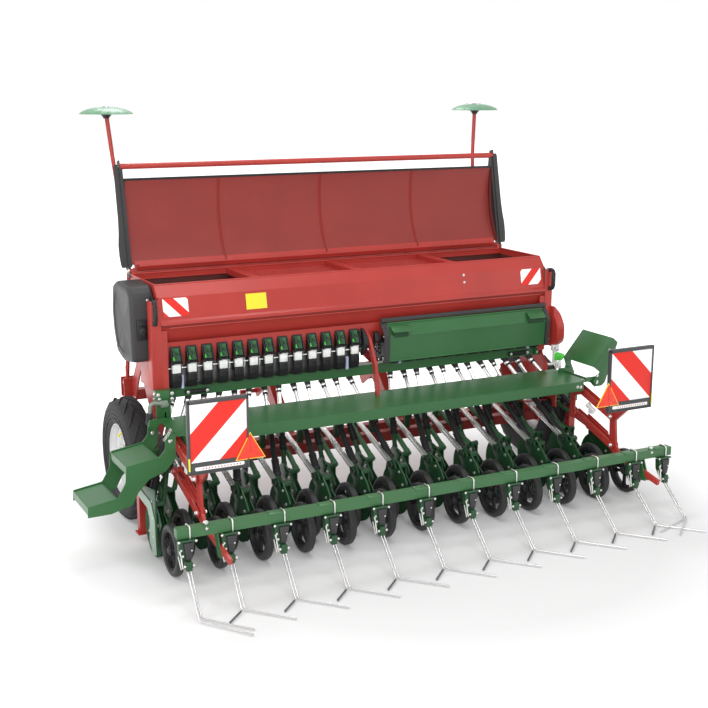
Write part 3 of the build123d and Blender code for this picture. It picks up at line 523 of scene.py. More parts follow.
fit("hinge_leaf", leaf, red)
fit("lid_seams", seams, red, "lid")
fit("lid_hinge_tube", rod, red, "lid")
fit("lid_seam_gaps", dark_seam, painted_gap_shade, "lid")
fit("lid_edging", hem, black, "lid")
fit("lid_side_returns", returns, graphite, "lid")
bolts("lid_bolts", [(side * 1270, *on_lid(0, run, rise)[1:], way) for side, way in SIDES
                    for run, rise in ((-602, 10), (0, 0), (-180, 60), (-400, 70))], 17, "lid")

# --- Metering ----------------------------------------------------------------------------------
# A row of identical metering housings hangs under the hopper: a black moulded throat with a green
# shutter and its lime tab, a cast block round the roller shaft, and a black outlet box below.
OUTLETS = [-1181 + 91 * i for i in range(13)] + [189 + 91 * i for i in range(12)]
ROLLER, SHAFT_BORE = (700, 905), 9.2
green = surface("green_coat", (0.028, 0.119, 0.036), 0.36, grain=0.03, coat=0.1)
dark_green = surface("green_coat_deep", (0.014, 0.06, 0.022), 0.45, mottle=0.1,
                     coat=0.2)
cast = surface("cast_zinc", (0.84, 0.84, 0.83), 0.42, metallic=0.15, mottle=0.06, patch=30,
               grain=0.2)
lime = surface("lime_moulding", (0.09, 0.62, 0.07), 0.35, mottle=0.05)
steel = surface("bright_bar", (0.86, 0.85, 0.85), 0.27, metallic=0.85, mottle=0.04, patch=14,
                grain=0.02)
hung = [(x, 0, 0) for x in OUTLETS]
throat, shutter, brow, tab, roller, shaft = blanks(6)
for x in ((-31, -24), (24, 31)):
    cheek = [(700, 1039), (652, 1037), (606, 956), (612, 944), (632, 936), (700, 936)]
    plate(throat, rounded(cheek, 5), *x, edge=1)
plate(throat, [(700, 1036), (660, 1034), (620, 958), (634, 940), (700, 940)], -25, 25)
plate(throat, [(655, 1036), (648, 1036), (640, 1020), (647, 1018)], -27, 27, edge=1)
plate(throat, [(619, 957), (612, 950), (614, 944), (624, 950)], -27, 27, edge=1)
box = [(636, 893), (626, 880), (622, 850), (640, 804), (752, 800), (764, 880), (760, 893)]
plate(throat, rounded(box, 8), -27, 27, edge=3)
for x in (-31, 27):
    ear = [(700, 938), (640, 938), (634, 905), (640, 872), (700, 868)]
    plate(throat, rounded(ear, 6), x, x + 4, edge=0.8)
for x in (-18, -6, 6, 18):
    plate(throat, [(624, 878), (619, 876), (617, 852), (623, 850)], x - 1.5, x + 1.5)
block(throat, (-22, 22), (700, 758), (890, 1039), 3)
fit("metering_throats", throat, black, hides=["metering_housings"], at=hung)
plate(shutter, [(648, 1028), (644, 1029), (611, 962), (615, 960)], -19, 19, edge=0.8)
block(shutter, (-2, 17), (622, 640), (996, 1010), 2)
for x in (-13, -6):
    plate(shutter, [(643, 1024), (638, 1022), (611, 970), (615, 968)], x, x + 2)
fit("metering_shutters", shutter, dark_green, at=hung)
plate(brow, [(647, 1024), (641, 1026), (631, 1004), (637, 1002)], -4, 17, edge=1)
fit("metering_shutter_grips", brow, green, at=hung)
block(tab, (-23, -14), (611, 622), (966, 974), 1.5)
block(tab, (-22, -17), (613, 624), (973, 984), 1.2)
fit("metering_tabs", tab, lime, at=hung)
block(roller, (-24, 24), (628, 690), (889, 937), 4)
for x in range(-18, 19, 9):
    block(roller, (x - 2, x + 2), (626.5, 632), (897, 934), 0.8)
block(roller, (-13, 13), (627, 640), (933, 942), 2)
fit("metering_blocks", roller, cast, at=hung)
bolts("metering_bolts", [(x + dx, 626, z, "rear") for x in OUTLETS for dx, z in ((-26, 946), (20, 944))], 8)

# The roller shaft with its cog wheels, the cam discs beside the stay and the setting levers.
bar(shaft, (-1262, *ROLLER), (1262, *ROLLER), 9, 16)
for low, high in ((-1225, 70), (189, 1225)):
    bar(shaft, (low, 646, 916), (high, 646, 916), 5, 10)
fit("roller_shaft", shaft, steel, hides=["metering_drive"])
round_tree, given = new_tree("copies_round_an_axle", Count="Int")
heap = add(round_tree, "GeometryNodeMeshLine", {"Count": given["Count"], "Offset": (0, 0, 0)})
share = reckon(round_tree, "DIVIDE", add(round_tree, "GeometryNodeInputIndex", {})[0], given["Count"])
turn = add(round_tree, "ShaderNodeCombineXYZ", {"X": reckon(round_tree, "MULTIPLY", share, 2 * pi)})
close_tree(round_tree, given, heap["Mesh"], Rotation=turn[0])


def tube(bm, start, way, inner, outer, run, sides):
    """A length of tube."""
    turned(bm, start, way, [(0, inner), (0, outer), (run, outer), (run, inner)], sides, ring=True)


def around(unit, count, material):
    """One unit, drawn round the X axis, repeated evenly about it."""
    return grown(round_tree, unit, Count=count, Material=material)


def joined(*pieces):
    """Several pieces as one mesh."""
    bm = bmesh.new()
    for piece in pieces:
        bm.from_mesh(mesh_of(piece))
    made = bpy.data.meshes.new("joined")
    bm.to_mesh(made)
    bm.free()
    return made


tooth, cog, lobe, cams, levers = blanks(5)
plate(tooth, [(-4.5, 33), (-2, 41), (2, 41), (4.5, 33)], -5, 5, edge=0.6)
tube(cog, (-6, 0, 0), X, SHAFT_BORE, 35, 12, 40)
tube(cog, (-9, 0, 0), X, SHAFT_BORE, 18, 18, 24)
fit("roller_cogs", joined(around(tooth, 20, cast), cog), cast,
    at=[(OUTLETS[i] + 45.5, *ROLLER) for i in (3, 4, 5)])
plate(lobe, [(-14, 66), (-12, 90), (12, 90), (14, 66)], 98, 112, edge=1)
turned(lobe, (92, 0, 40), X, [(0, 9), (26, 9)], 12)
for low, high, radius in ((99, 111, 74), (92, 116, 22), (112, 117, 60)):
    tube(cams, (low, 0, 0), X, SHAFT_BORE, radius, high - low, 48)
fit("cam_discs", joined(around(lobe, 9, black), cams), black, at=[(0, *ROLLER)])
quadrant = [(652, 1040), (618, 1022), (598, 960), (612, 890), (650, 868), (668, 940)]
plate(levers, rounded(quadrant, 16), -44, -26, edge=3)
plate(levers, rounded([(640, 1010), (606, 985), (600, 930), (636, 905)], 12), -26, -12, edge=2)
bent_bar(levers, [(-58, 650, 900), (-58, 630, 950), (-58, 628, 1030)], 5, 10)
bent_bar(levers, [(42, 655, 880), (42, 640, 930), (42, 622, 985)], 5, 10)
plate(levers, rounded([(640, 1012), (614, 1002), (606, 956), (634, 940)], 6), 34, 66, edge=2)
turned(levers, (-40, 640, 905), X, [(0, 24), (18, 24), (22, 12)], 24)
fit("setting_levers", levers, black)

# Clear bleed tubes with a faint blue haze, at both ends of each run of housings.
clear = bpy.data.materials.new("clear_tube")
clear.use_nodes = True
tree = clear.node_tree
where = add(tree, "ShaderNodeTexCoord", {})["Object"]
haze = add(tree, "ShaderNodeTexNoise", {"Scale": 60, "Vector": where})["Fac"]
wire(tree, tree.nodes["Principled BSDF"], {"Roughness": 0.18, "Alpha": 0.75, "Base Color": ramp(
    tree, haze, ((0.42, 0.46, 0.68), (0.6, 0.64, 0.85)))})
bleed = bmesh.new()
for x in (-1146, -134, 218, 1146):
    tube(bleed, (x, 646, 800), Z, 7, 10, 76, 16)
fit("bleed_tubes", bleed, clear)

# Outlet rail, a square green tube with end tabs and two black handles.
coat(green, "outlet_rail", "metering_cover")
rail, handles = blanks(2)
pair(rail, (1225, 1262), (676, 692), (742, 812), 2)
block(rail, (-1225, 1225), (684, 692.2), (792, 798), 1)
for x in OUTLETS:
    block(rail, (x - 26, x + 26), (686, 745), (799, 804), 1)
fit("outlet_rail_tabs", rail, green)
for low, high in ((-1118, -977), (1029, 1181)):
    block(handles, (low, high), (676, 688), (752, 776), 5)
    for x in (low + 14, high - 14):
        turned(handles, (x, 692, 764), -Y, [(0, 9), (12, 9)], 16)
    block(handles, (low + 28, high - 28), (672, 680), (757, 771), 3)
fit("rail_handles", handles, black)
bolts("rail_bolts", [(x, 676, 764, "rear") for x in (-1104, -991, 1043, 1167)]
      + [(side * 1243, 676, z, "rear") for side in BOTH for z in (760, 795)], 12)

# Hinged cover over the right-hand housings: a folded sheet with two finger tabs and end returns.
flap, slots, frame_caps = blanks(3)
COVER_ENDS = (119, 1231)
for x in ((131, 252), (1101, 1222)):
    plate(flap, [(612, 1043), (600, 1038), (566, 1013), (563, 1006), (567, 1007), (584, 1017)], *x, edge=0.8)
plate(flap, [(578, 988), (574, 984), (574, 980), (580, 982)], *COVER_ENDS, edge=0.8)
plate(flap, [(594, 838), (588, 835), (587, 828), (600, 828), (600, 832), (592, 832)], *COVER_ENDS, edge=0.8)
for x in ((118.5, 121.5), (1228.5, 1231.5)):
    plate(flap, [(624, 1046), (582, 985), (592, 834), (604, 834), (596, 984), (628, 1034)], *x)
fit("metering_cover_folds", flap, green, "meter_cover")
# Dark green strips under the finger tabs: painted shade in the slots below them.
for x in ((142, 236), (1094, 1216)):
    plate(slots, [(590, 1019), (572, 992), (573, 976), (571.6, 976), (570, 992), (586, 1020)], *x, edge=0.4)
fit("metering_cover_slots", slots, surface("slot_shade", (0.01, 0.045, 0.016), 0.7),
    "meter_cover")


def folded(bm, path, thick, lap, low, high, edge):
    """A sheet folded along a path of (y, z) points, each flat lapping over the next fold."""
    for start, end in zip(path, path[1:]):
        start, end = Vector(start), Vector(end)
        way = (end - start).normalized()
        off = Vector((-way.y, way.x)) * thick
        plate(bm, [start, end + way * lap, end + off, start + off], low, high, edge=edge)


for x in ((78, 117), (1233, 1262)):
    folded(frame_caps, [(636, 1062), (602, 1030), (573, 990), (583, 826)], 9, 0, *x, 1)
block(frame_caps, (82, 1260), (622, 634), (1062, 1086), 3)
fit("cover_frame_edges", frame_caps, graphite)
bolts("cover_frame_bolts", [(78, y, z, "left") for y, z in ((586, 985), (590, 850))]
      + [(1262, y, z, "right") for y, z in ((590, 985), (590, 860))], 9)

# --- Seed delivery -----------------------------------------------------------------------------
# Under each outlet a black socket holds a telescopic steel tube. The tube runs into a rubber hose
# that ends in a ribbed coupler: low over the rear coulters, higher with a green stem over the front.
ROWS, LAST_ROW, AXLE_Z = range(25), 24, 135
coat(black, "outlet_sockets")
rubber = surface("hose_rubber", (0.016, 0.016, 0.017), 0.55, mottle=0.12, patch=12,
                 grain=0.18)


def row_x(row):
    """Distance of a seed row from the centre line."""
    return -1440 + 120 * row


def row_y(row):
    """Where a row's press wheel axle stands."""
    return 185 * (row % 2)


def sleeve(bm, row, first, last, radii, sides=14):
    """A turned sleeve between two shares of a row's seed line, which runs from its outlet to its
    coulter: (share of the sleeve, radius) pairs."""
    top, foot = Vector((OUTLETS[row], 713, 740)), Vector((row_x(row), row_y(row) + 330, 308))
    start, end = top.lerp(foot, first), top.lerp(foot, last)
    run = (end - start).length
    turned(bm, start, end - start, [(0, 0), *[(run * s, r) for s, r in radii], (run, 0)], sides)


RIBS = [(i / 6 + share, radius) for i in range(6)
        for share, radius in ((0.01, 19), (0.03, 22), (0.09, 22), (0.11, 19))]
tubes, rings, hoses, stems, couplers = blanks(5)
for row in ROWS:
    front = row % 2
    end = 0.66 if front else 0.82
    sleeve(rings, row, 0.0, 0.05, [(0, 17), (0.5, 18), (1, 17)])
    sleeve(tubes, row, 0.05, 0.085, [(0, 15), (0.2, 17), (0.7, 17), (1, 13)])
    sleeve(tubes, row, 0.08, 0.3, [(0, 12), (1, 12)])
    sleeve(tubes, row, 0.295, 0.44, [(0, 12.5), (0.06, 14), (0.1, 13), (1, 13)])
    sleeve(hoses, row, 0.41, end, [(0, 17), (0.015, 20), (0.07, 20), (0.085, 17), (0.5, 16.5), (1, 17)], 18)
    sleeve(couplers, row, end - 0.02, end + 0.13, RIBS, 18)
    sleeve(couplers, row, end + 0.125, end + 0.15, [(0, 24), (0.5, 25), (1, 21)], 18)
    if front:
        sleeve(stems, row, end + 0.1, 1.0, [(0, 14), (0.75, 14), (0.8, 17), (1, 17)])
    else:
        sleeve(couplers, row, end + 0.12, 1.0, [(0, 16), (1, 16)])
fit("seed_drop_tubes", tubes, steel, hides=["seed_tubes"])
fit("drop_tube_rings", rings, black)
fit("seed_hose_runs", hoses, rubber, hides=["seed_hoses"])
fit("hose_couplers", couplers, rubber)
fit("coulter_stems", stems, dark_green)

# --- Coulters and press wheels -----------------------------------------------------------------
# Double discs on a green leg behind each drag arm. The rear row's bright pressure rods run beside a
# thin dark rod, the front row's arms are green. Each press wheel is a soft ring on a spoked rim.
arm_green = surface("arm_coat", (0.045, 0.14, 0.06), 0.38, coat=0.15)
disc_paint = surface("disc_coat", (0.012, 0.07, 0.024), 0.62, mottle=0.12, patch=10)
disc_paint.node_tree.nodes["Principled BSDF"].inputs["Specular IOR Level"].default_value = 0.1
chrome = surface("chromed_rod", (0.95, 0.94, 0.94), 0.28, metallic=0.8, mottle=0.03,
                 grain=0.01)
oiled = surface("oiled_steel", (0.05, 0.05, 0.052), 0.35, metallic=0.7, patch=30)
shield_coat = surface("shield_coat", (0.3, 0.4, 0.32), 0.45, mottle=0.12, patch=10)
press_rubber = surface("press_rubber", (0.022, 0.022, 0.023), 0.45, mottle=0.08, patch=14,
                       grain=0.1)
coat(dark_green, "arm_brackets")
coat(disc_paint, "coulter_discs")
# The disc hub's place in front of the press wheel axle and its height, the first row whose arm
# leans to the left, and the outlines of the parts on one leg.
DISC, TURN = (286, 147), 17
LEG = [(345, 300), (332, 328), (290, 342), (215, 326), (150, 276), (108, 228), (136, 190), (168, 178),
       (223, 188), (262, 160), (310, 165), (318, 200), (300, 232), (335, 262)]
EAR = [(240, 262), (228, 300), (262, 334), (318, 318), (322, 280)]
FORK = [(-18, 118), (-18, 152), (120, 190), (220, 250), (220, 322), (244, 322), (264, 300), (345, 292),
        (392, 250), (380, 170), (330, 112), (250, 108), (150, 120)]
CLIP = [(236, 296), (250, 330), (300, 326), (296, 292)]


def reach_of(row):
    """How far an arm's front end stands to the side of its row: right at first, then left."""
    return {0: 46, TURN - 1: 35, TURN: -46, LAST_ROW: -46}.get(row, 70 if row < TURN else -70)


rods, thin_rods, bodies, arms, shield, stiffener = blanks(6)
for row in ROWS:
    x, y = row_x(row), row_y(row)
    for outline, soft, low, high, edge in ((LEG, 12, -25, -16, 1.5), (EAR, 10, -34, -24, 2),
                                           (FORK, 10, 28, 34, 1.2)):
        plate(bodies, rounded([(y + dy, z) for dy, z in outline], soft), x + low, x + high, edge=edge)
    block(bodies, (x - 25, x + 28), (y + 205, y + 232), (300, 322), 3)
    turned(bodies, (x - 16, y + DISC[0], DISC[1]), -X, [(0, 32), (6, 32), (12, 24)], 20)
    turned(bodies, (x + 28, y, AXLE_Z), X, [(0, 22), (14, 22), (16, 16)], 16)
    bar(bodies, (x - 18, y + DISC[0], DISC[1]), (x + 30, y + DISC[0], DISC[1]), 22, 18)
    bar(bodies, (x - 24, y, AXLE_Z), (x + 30, y, AXLE_Z), 8, 12)
    reach = reach_of(row)
    foot = Vector((x + (32 if reach > 0 else -32), y + 228, 312))
    head = Vector((x + reach, y + 700, 495))
    outward = 1 if x > 0 else -1
    if row in (0, LAST_ROW):
        head = Vector((outward * 1292, 494, 455))
        bent_bar(bodies, [foot, foot.lerp(head, 0.1), head], 12, 14)
    elif row in (1, LAST_ROW - 1):
        beside = outward * 1200
        knees = [(x + reach, y + 300, 346), (beside, 600, 391), (beside, y + 700, 495)]
        bent_bar(arms, [foot, *knees], 14, 16, 30)
    elif row % 2:
        bar(arms, foot, head, 15.5, 18)
        bar(arms, foot.lerp(head, -0.02), foot.lerp(head, 0.06), 18, 18)
    else:
        tab = [(684, 380), (726, 380), (718, 474), (694, 474)]
        plate(bodies, rounded(tab, 6), x - 50, x - 44, edge=1)
        near, far = Vector((x - 36, y + 262, 306)), Vector((x - 36, y + 706, 462))
        aside = Vector((14, 0, -12))
        bar(rods, near, far, 16, 18)
        bar(thin_rods, near + aside, far + aside, 4.5, 8)
        bar(thin_rods, near.lerp(far, -0.03), near.lerp(far, 0.05), 18, 18)
        plate(bodies, rounded([(y + dy, z) for dy, z in CLIP], 8), x - 52, x - 49, edge=0.8)
        bar(thin_rods, (x - 54, y + 268, 309), (x - 26, y + 268, 309), 6, 12)
fit("pressure_rods", rods, chrome, hides=["drag_arms_rear"])
fit("pressure_rod_guides", thin_rods, oiled)
fit("coulter_legs", bodies, dark_green, hides=["coulter_bodies"])
fit("front_arm_tubes", arms, arm_green, hides=["drag_arms_front"])
bolts("coulter_bolts", [(row_x(row) + dx, row_y(row) + dy, z, "left") for row in ROWS
                        for dx, dy, z in ((-25, 160, 215), (-25, 200, 280), (-28, *DISC))], 13)
outline = [(465, 300), (404, 348), (217, 326), (158, 250), (154, 140), (147, 57), (200, 46), (256, 105),
           (237, 223), (273, 277)]
plate(shield, rounded(outline, 14), -1484, -1480, edge=1)
fit("row_shield", shield, shield_coat)
outline = [(430, 350), (404, 372), (150, 412), (146, 330), (158, 262), (217, 330)]
plate(stiffener, rounded(outline, 10), -1480, -1474, edge=1)
outline = [(250, 380), (160, 404), (150, 300), (146, 120), (190, 62), (236, 72), (250, 200)]
plate(stiffener, rounded(outline, 12), -1478, -1470, edge=1.5)
fit("row_shield_leg", stiffener, dark_green)
bolts("row_shield_bolts", [(-1478, y, z, "left") for y, z in ((196, 340), (190, 250), (186, 150),
                                                              (190, 100))], 12)

tread, spoke, wheel, cap = blanks(4)
turned(tread, (-22.5, 0, 0), X,
       [(7.5, 101), (3, 103), (0.5, 108), (0, 116), (1.2, 124), (5, 131), (11, 134.4), (18, 135),
        (20.5, 134.2), (24.5, 134.2), (27, 135), (34, 134.4), (40, 131), (43.8, 124), (45, 116),
        (44.5, 108), (42, 103), (37.5, 101)], 56, ring=True)
plate(spoke, rounded([(-15, 20), (-8, 60), (-17, 94), (17, 94), (8, 60), (15, 20)], 8), -6, 6, edge=2)
block(spoke, (-14, 14), (-2, 2), (20, 92), 1)
turned(wheel, (-16, 0, 0), X, [(0, 94), (0, 101.5), (32, 101.5), (32, 94), (19, 91), (13, 91)], 56,
       ring=True)
turned(wheel, (-22, 0, 0), X, [(0, 8.3), (0, 20), (3, 24), (41, 24), (44, 20), (44, 8.3)], 28, ring=True)
tube(wheel, (-8, 0, 0), X, 22, 30, 16, 28)
turned(cap, (-22, 0, 0), -X, [(0, 17), (5, 15), (6, 0)], 20)
tread_mesh, rim_mesh, cap_mesh = mesh_of(tread), joined(around(spoke, 5, black), wheel), mesh_of(cap)
for first, word in enumerate(("rear", "front")):
    spots = [(row_x(row), row_y(row), AXLE_Z) for row in ROWS[first::2]]
    turns = [(0.37 * i, 0, 0) for i in range(len(spots))]
    body = f"press_{word}"
    fit(f"press_tyres_{word}", tread_mesh, press_rubber, body, [f"press_wheels_{word}"], at=spots)
    fit(f"press_rims_{word}", rim_mesh, black, body, at=spots, turns=turns)
    fit(f"press_caps_{word}", cap_mesh, graphite, body, at=spots)

# --- Platform and steps ------------------------------------------------------------------------
# A long folded green tread with end plates, the two-tread step on the left, the flap on the right,
# the lock handle with its black grip and the lime bracket that latches the flap.
STEP_X, DECK_TOP = -1361, 659
sage = surface("sage_coat", (0.2, 0.24, 0.2), 0.4, coat=0.2)
coat(green, "platform", "step_left", "step_right", "leg_sleeves")
deck, left_step, flap_sheet, handle, grip = blanks(5)
lug_plate, link, lime_latch, latch = blanks(4)
block(deck, (-1322, 1322), (586, 590), (640, DECK_TOP), 1.5)
block(deck, (-1262, 1262), (228, 246), (600, 603), 1)
bar(deck, (-1322, 231, 656), (1322, 231, 656), 3.2, 10)
pair(deck, (1318, 1322), (246, 586), (653, DECK_TOP), 1)
pair(deck, (1262, 1276), (232, 240), (606, 654), 2)
end_plate = [(246, 600), (246, 656), (300, 656), (330, 610), (330, 560), (296, 560)]
for side in BOTH:
    plate(deck, rounded(end_plate, 10), *span(side, 1271, 1276), edge=1)
fit("platform_folds", deck, green)
deck_bolts = ((1361, 216, 644, "rear"), (1254, 228, 626, "rear"), (1230, 228, 630, "rear"),
              (1296, 270, DECK_TOP, "up"), (1296, 540, DECK_TOP, "up"), (1236, 560, DECK_TOP, "up"))
bolts("platform_bolts", [(side * x, y, z, way) for side in BOTH for x, y, z, way in deck_bolts], 12)
for out, z, run in ((63, 556, 176), (289, 368, 155)):
    x = STEP_X - out
    bar(left_step, (x - run, 221, z - 24), (x - run, 515, z - 24), 3, 8)
    block(left_step, (x - 8, x), (222, 514), (z - 26, z), 1)
    block(left_step, (x - run, x - run + 12), (222, 514), (z - 62, z - 59), 1)
EDGE = [(-26, 672), (0, 680), (27, 664), (31, 600), (63, 560), (239, 532), (245, 446), (289, 372),
        (443, 348)]
for y in (218.5, 517.5):
    bent_bar(left_step, [(STEP_X - out, y, z) for out, z in EDGE], 3.6, 8, 10, 3)
fit("left_step_edges", left_step, green, "step_l")
bolts("left_step_bolts", [(-1367, 216, 641, "rear"), (-1364, 515, 664, "rear"), (-1368, 515, 606, "rear"),
                          (-1367, 519, 641, "front")], 13, "step_l")
plate(flap_sheet, [(1334, 748), (1478, 915), (1481, 912), (1337, 745)], 217, 519, "Y", 0.6)
plate(flap_sheet, [(1478, 915), (1500, 896), (1498, 893), (1477, 911)], 217, 519, "Y", 0.6)
outline = [(1334, 748), (1478, 915), (1514, 884), (1428, 640), (1404, 622), (1356, 622), (1336, 655),
           (1385, 709)]
plate(flap_sheet, rounded(outline, 3), 216, 220, "Y", 0.6)
outline = [(1334, 748), (1478, 915), (1498, 896), (1400, 770), (1392, 709), (1424, 640), (1404, 622),
           (1356, 622), (1336, 655), (1352, 700)]
plate(flap_sheet, rounded(outline, 7), 516, 520, "Y", 0.6)
block(flap_sheet, (1344, 1362), (219, 517), (640, 644), 0.6)
block(flap_sheet, (1344, 1348), (219, 517), (640, 662), 0.6)
fit("step_flap_right", flap_sheet, green, "step_r", ["step_right"])
bolts("right_flap_bolts", [(1366, y, z, way) for y, way in ((216, "rear"), (520, "front"))
                           for z in (690, 650)] + [(1450, 216, 840, "rear")], 12, "step_r")
path = [(-1366, 560, 690), (-1362, 560, 744), (-1344, 560, 757), (-1300, 560, 750), (-1262, 560, 738)]
bent_bar(handle, path, 11, 12, 16)
block(handle, (-1300, -1262), (550, 572), (728, 764), 4)
turned(handle, (-1284, 552, 746), -Y, [(0, 13), (8, 13), (10, 8)], 16)
fit("lock_handle", handle, sage)
turned(grip, (-1366, 560, 704), (-0.06, 0, -1), [(0, 15), (4, 18), (58, 19), (64, 16), (66, 0)], 16)
fit("lock_grip", grip, black, slot="black_grip")
block(lug_plate, (-1316, -1242), (585, 640), (748, 810), 3)
block(lug_plate, (-1316, -1236), (592, 600), (655, 756), 2)
block(lug_plate, (-1240, -1234), (592, 640), (655, 810), 2)
fit("handle_bracket", lug_plate, green)
bolts("handle_bracket_bolts", [
    (-1306, 585, 792, "rear"), (-1300, 585, 766, "rear"), (-1226, 590, 792, "rear"),
    (-1226, 590, 762, "rear"), (-1318, 612, 792, "left"), (-1318, 612, 766, "left")], 13)
tube(link, (0, 0, -1.1), Z, 3.4, 5.4, 2.2, 12)
bmesh.ops.scale(link, vec=(1, 1.45, 1), verts=link.verts)
start, end, tilt = Vector((-1364, 213, 700)), Vector((-1400, 213, 652)), -0.4
fit("step_chain", link, zinc, "step_l",
    at=[start.lerp(end, k / 5) + X * 4 * sin(pi * k / 5) for k in range(6)],
    turns=[(pi / 2, tilt if k % 2 else 0, 0 if k % 2 else tilt) for k in range(6)])
outline = [(1317, 716), (1316, 758), (1344, 766), (1372, 756), (1390, 750), (1386, 722), (1366, 706)]
plate(lime_latch, rounded(outline, 6), 584, 606, "Y", 2)
turned(lime_latch, (1342, 586, 738), -Y, [(0, 13), (6, 13), (9, 8)], 18)
block(lime_latch, (1352, 1388), (578, 588), (728, 742), 3)
fit("flap_latch_plate", lime_latch, lime)
block(latch, (1300, 1352), (588, 612), (776, 814), 3)
block(latch, (1312, 1340), (592, 610), (694, 780), 2)
block(latch, (1336, 1376), (592, 612), (656, 700), 3)
bar(latch, (1270, 600, 690), (1372, 600, 690), 8, 12)
fit("flap_latch", latch, cast)
bolts("flap_latch_bolts", [(1316, 588, 796, "rear"), (1340, 588, 780, "rear"), (1346, 592, 680, "rear"),
                           (1366, 592, 668, "rear")], 10)

# --- Ground-drive wheels -----------------------------------------------------------------------
# Cross-ply tyres with slanting lugs on a smooth carcass, on silver dished rims with wheel bolts.
# A red guard stands over the chain to the metering, with an oil can held below it.
HUB_BORE = 25.5
tyre_rubber = surface("tyre_rubber", (0.02, 0.02, 0.021), 0.68, mottle=0.12, patch=9,
                      grain=0.3, grain_size=260)
silver = surface("silver_coat", (0.55, 0.55, 0.55), 0.35, metallic=0.4, coat=0.1)
lug, carcass, rim, bolt_unit, slot_unit, guard, lower, can = blanks(8)
for hand in BOTH:
    loops = []
    for t in (i / 6 for i in range(7)):
        across, turn = hand * (2 + 60 * t), radians(hand * 4.5 + 20 * t)
        foot, top = 330 - 8 * t, 351.5 - (0 if t < 0.6 else 72 * (t - 0.6) ** 1.5)
        corners = ((foot, 15), (top - 2, 10), (top, 8), (top, -8), (top - 2, -10), (foot, -15))
        loops.append([(across, radius * sin(turn + wide / 350), radius * cos(turn + wide / 350))
                      for radius, wide in corners])
    skin(lug, loops)
turned(carcass, (-75, 0, 0), X,
       [(16, 203), (10, 212), (4, 232), (1, 262), (2, 292), (6, 316), (14, 331), (30, 339), (75, 342),
        (120, 339), (136, 331), (144, 316), (148, 292), (149, 262), (146, 232), (140, 212), (134, 203)],
       96, ring=True)
for x, radius in ((-74.5, 262), (-73, 236), (-72.6, 288)):
    for hand in BOTH:
        turned(carcass, (hand * x - 2, 0, 0), X,
               [(0, radius), (0.5, radius + 2), (3.5, radius + 2), (4, radius)], 72, ring=True)
tyre_mesh = joined(around(lug, 20, tyre_rubber), carcass)
turned(bolt_unit, (26, 0, 72), X, [(0, 11), (12, 11), (14, 8)], 6)
tube(slot_unit, (8, 0, 150), X, 12, 20, 7, 16)
turned(rim, (-60, 0, 0), X,
       [(0, 210), (2, 214), (6, 212), (8, 204), (20, 200), (30, 186), (90, 186), (100, 200), (112, 204),
        (114, 212), (118, 214), (120, 210), (116, 198), (104, 194), (94, 180), (84, 176), (76, 158),
        (70, 120), (80, 96), (84, 60), (84, HUB_BORE), (74, HUB_BORE), (74, 60), (70, 92), (60, 120),
        (66, 162), (74, 180), (28, 180), (16, 194), (4, 198)], 72, ring=True)
turned(rim, (-70, 0, 0), X, [(0, HUB_BORE), (0, 44), (4, 48), (110, 48), (116, 42), (116, HUB_BORE)], 32,
       ring=True)
rim_mesh = joined(rim, around(bolt_unit, 6, zinc), around(slot_unit, 8, silver))
for side, word in SIDES:
    centre = (side * 1380, 935, 352)
    placed = {"body": f"wheel_{word[0]}", "at": [centre], "turns": [(0, 0, 0 if side > 0 else pi)]}
    stem, cap = blanks(2)
    bar(stem, (46, 40, 168), (66, 40, 150), 5, 10)
    bar(stem, (62, 40, 154), (72, 40, 145), 7.5, 10)
    fit(f"tyre_with_lugs_{word}", tyre_mesh, tyre_rubber, hides=[f"tyre_{word}"], **placed)
    fit(f"rim_dished_{word}", rim_mesh, silver, hides=[f"rim_{word}"], **placed)
    fit(f"tyre_valve_{word}", stem, yellow, **placed)
    turned(cap, (side * 1420, *centre[1:]), X * side, [(0, 24.5), (24, 24.5), (30, 20), (32, 0)], 28)
    fit(f"stub_cap_{word}", cap, graphite)

outline = [(690, 1056), (610, 1010), (566, 940), (565, 850), (596, 812), (690, 802)]
plate(guard, rounded(outline, 26), 1313, 1374, edge=11)
outline = [(640, 1000), (596, 950), (592, 880), (606, 842), (650, 842), (660, 1000)]
plate(guard, rounded(outline, 14), 1370, 1377, edge=2)
block(guard, (1311, 1320), (606, 690), (800, 1060), 2)
fit("chain_guard", guard, red)
folded(lower, [(560, 470), (700, 440), (830, 470), (905, 560), (930, 640)], 6, 4, 1130, 1250, 0.8)
fit("chain_trough", lower, red)
turned(can, (1180, 610, 430), (0, 0.1, 1),
       [(0, 30), (6, 36), (110, 36), (124, 26), (128, 14), (146, 14), (148, 0)], 28)
fit("oil_can", can, surface("white_moulding", (0.75, 0.75, 0.74), 0.4, mottle=0.04))

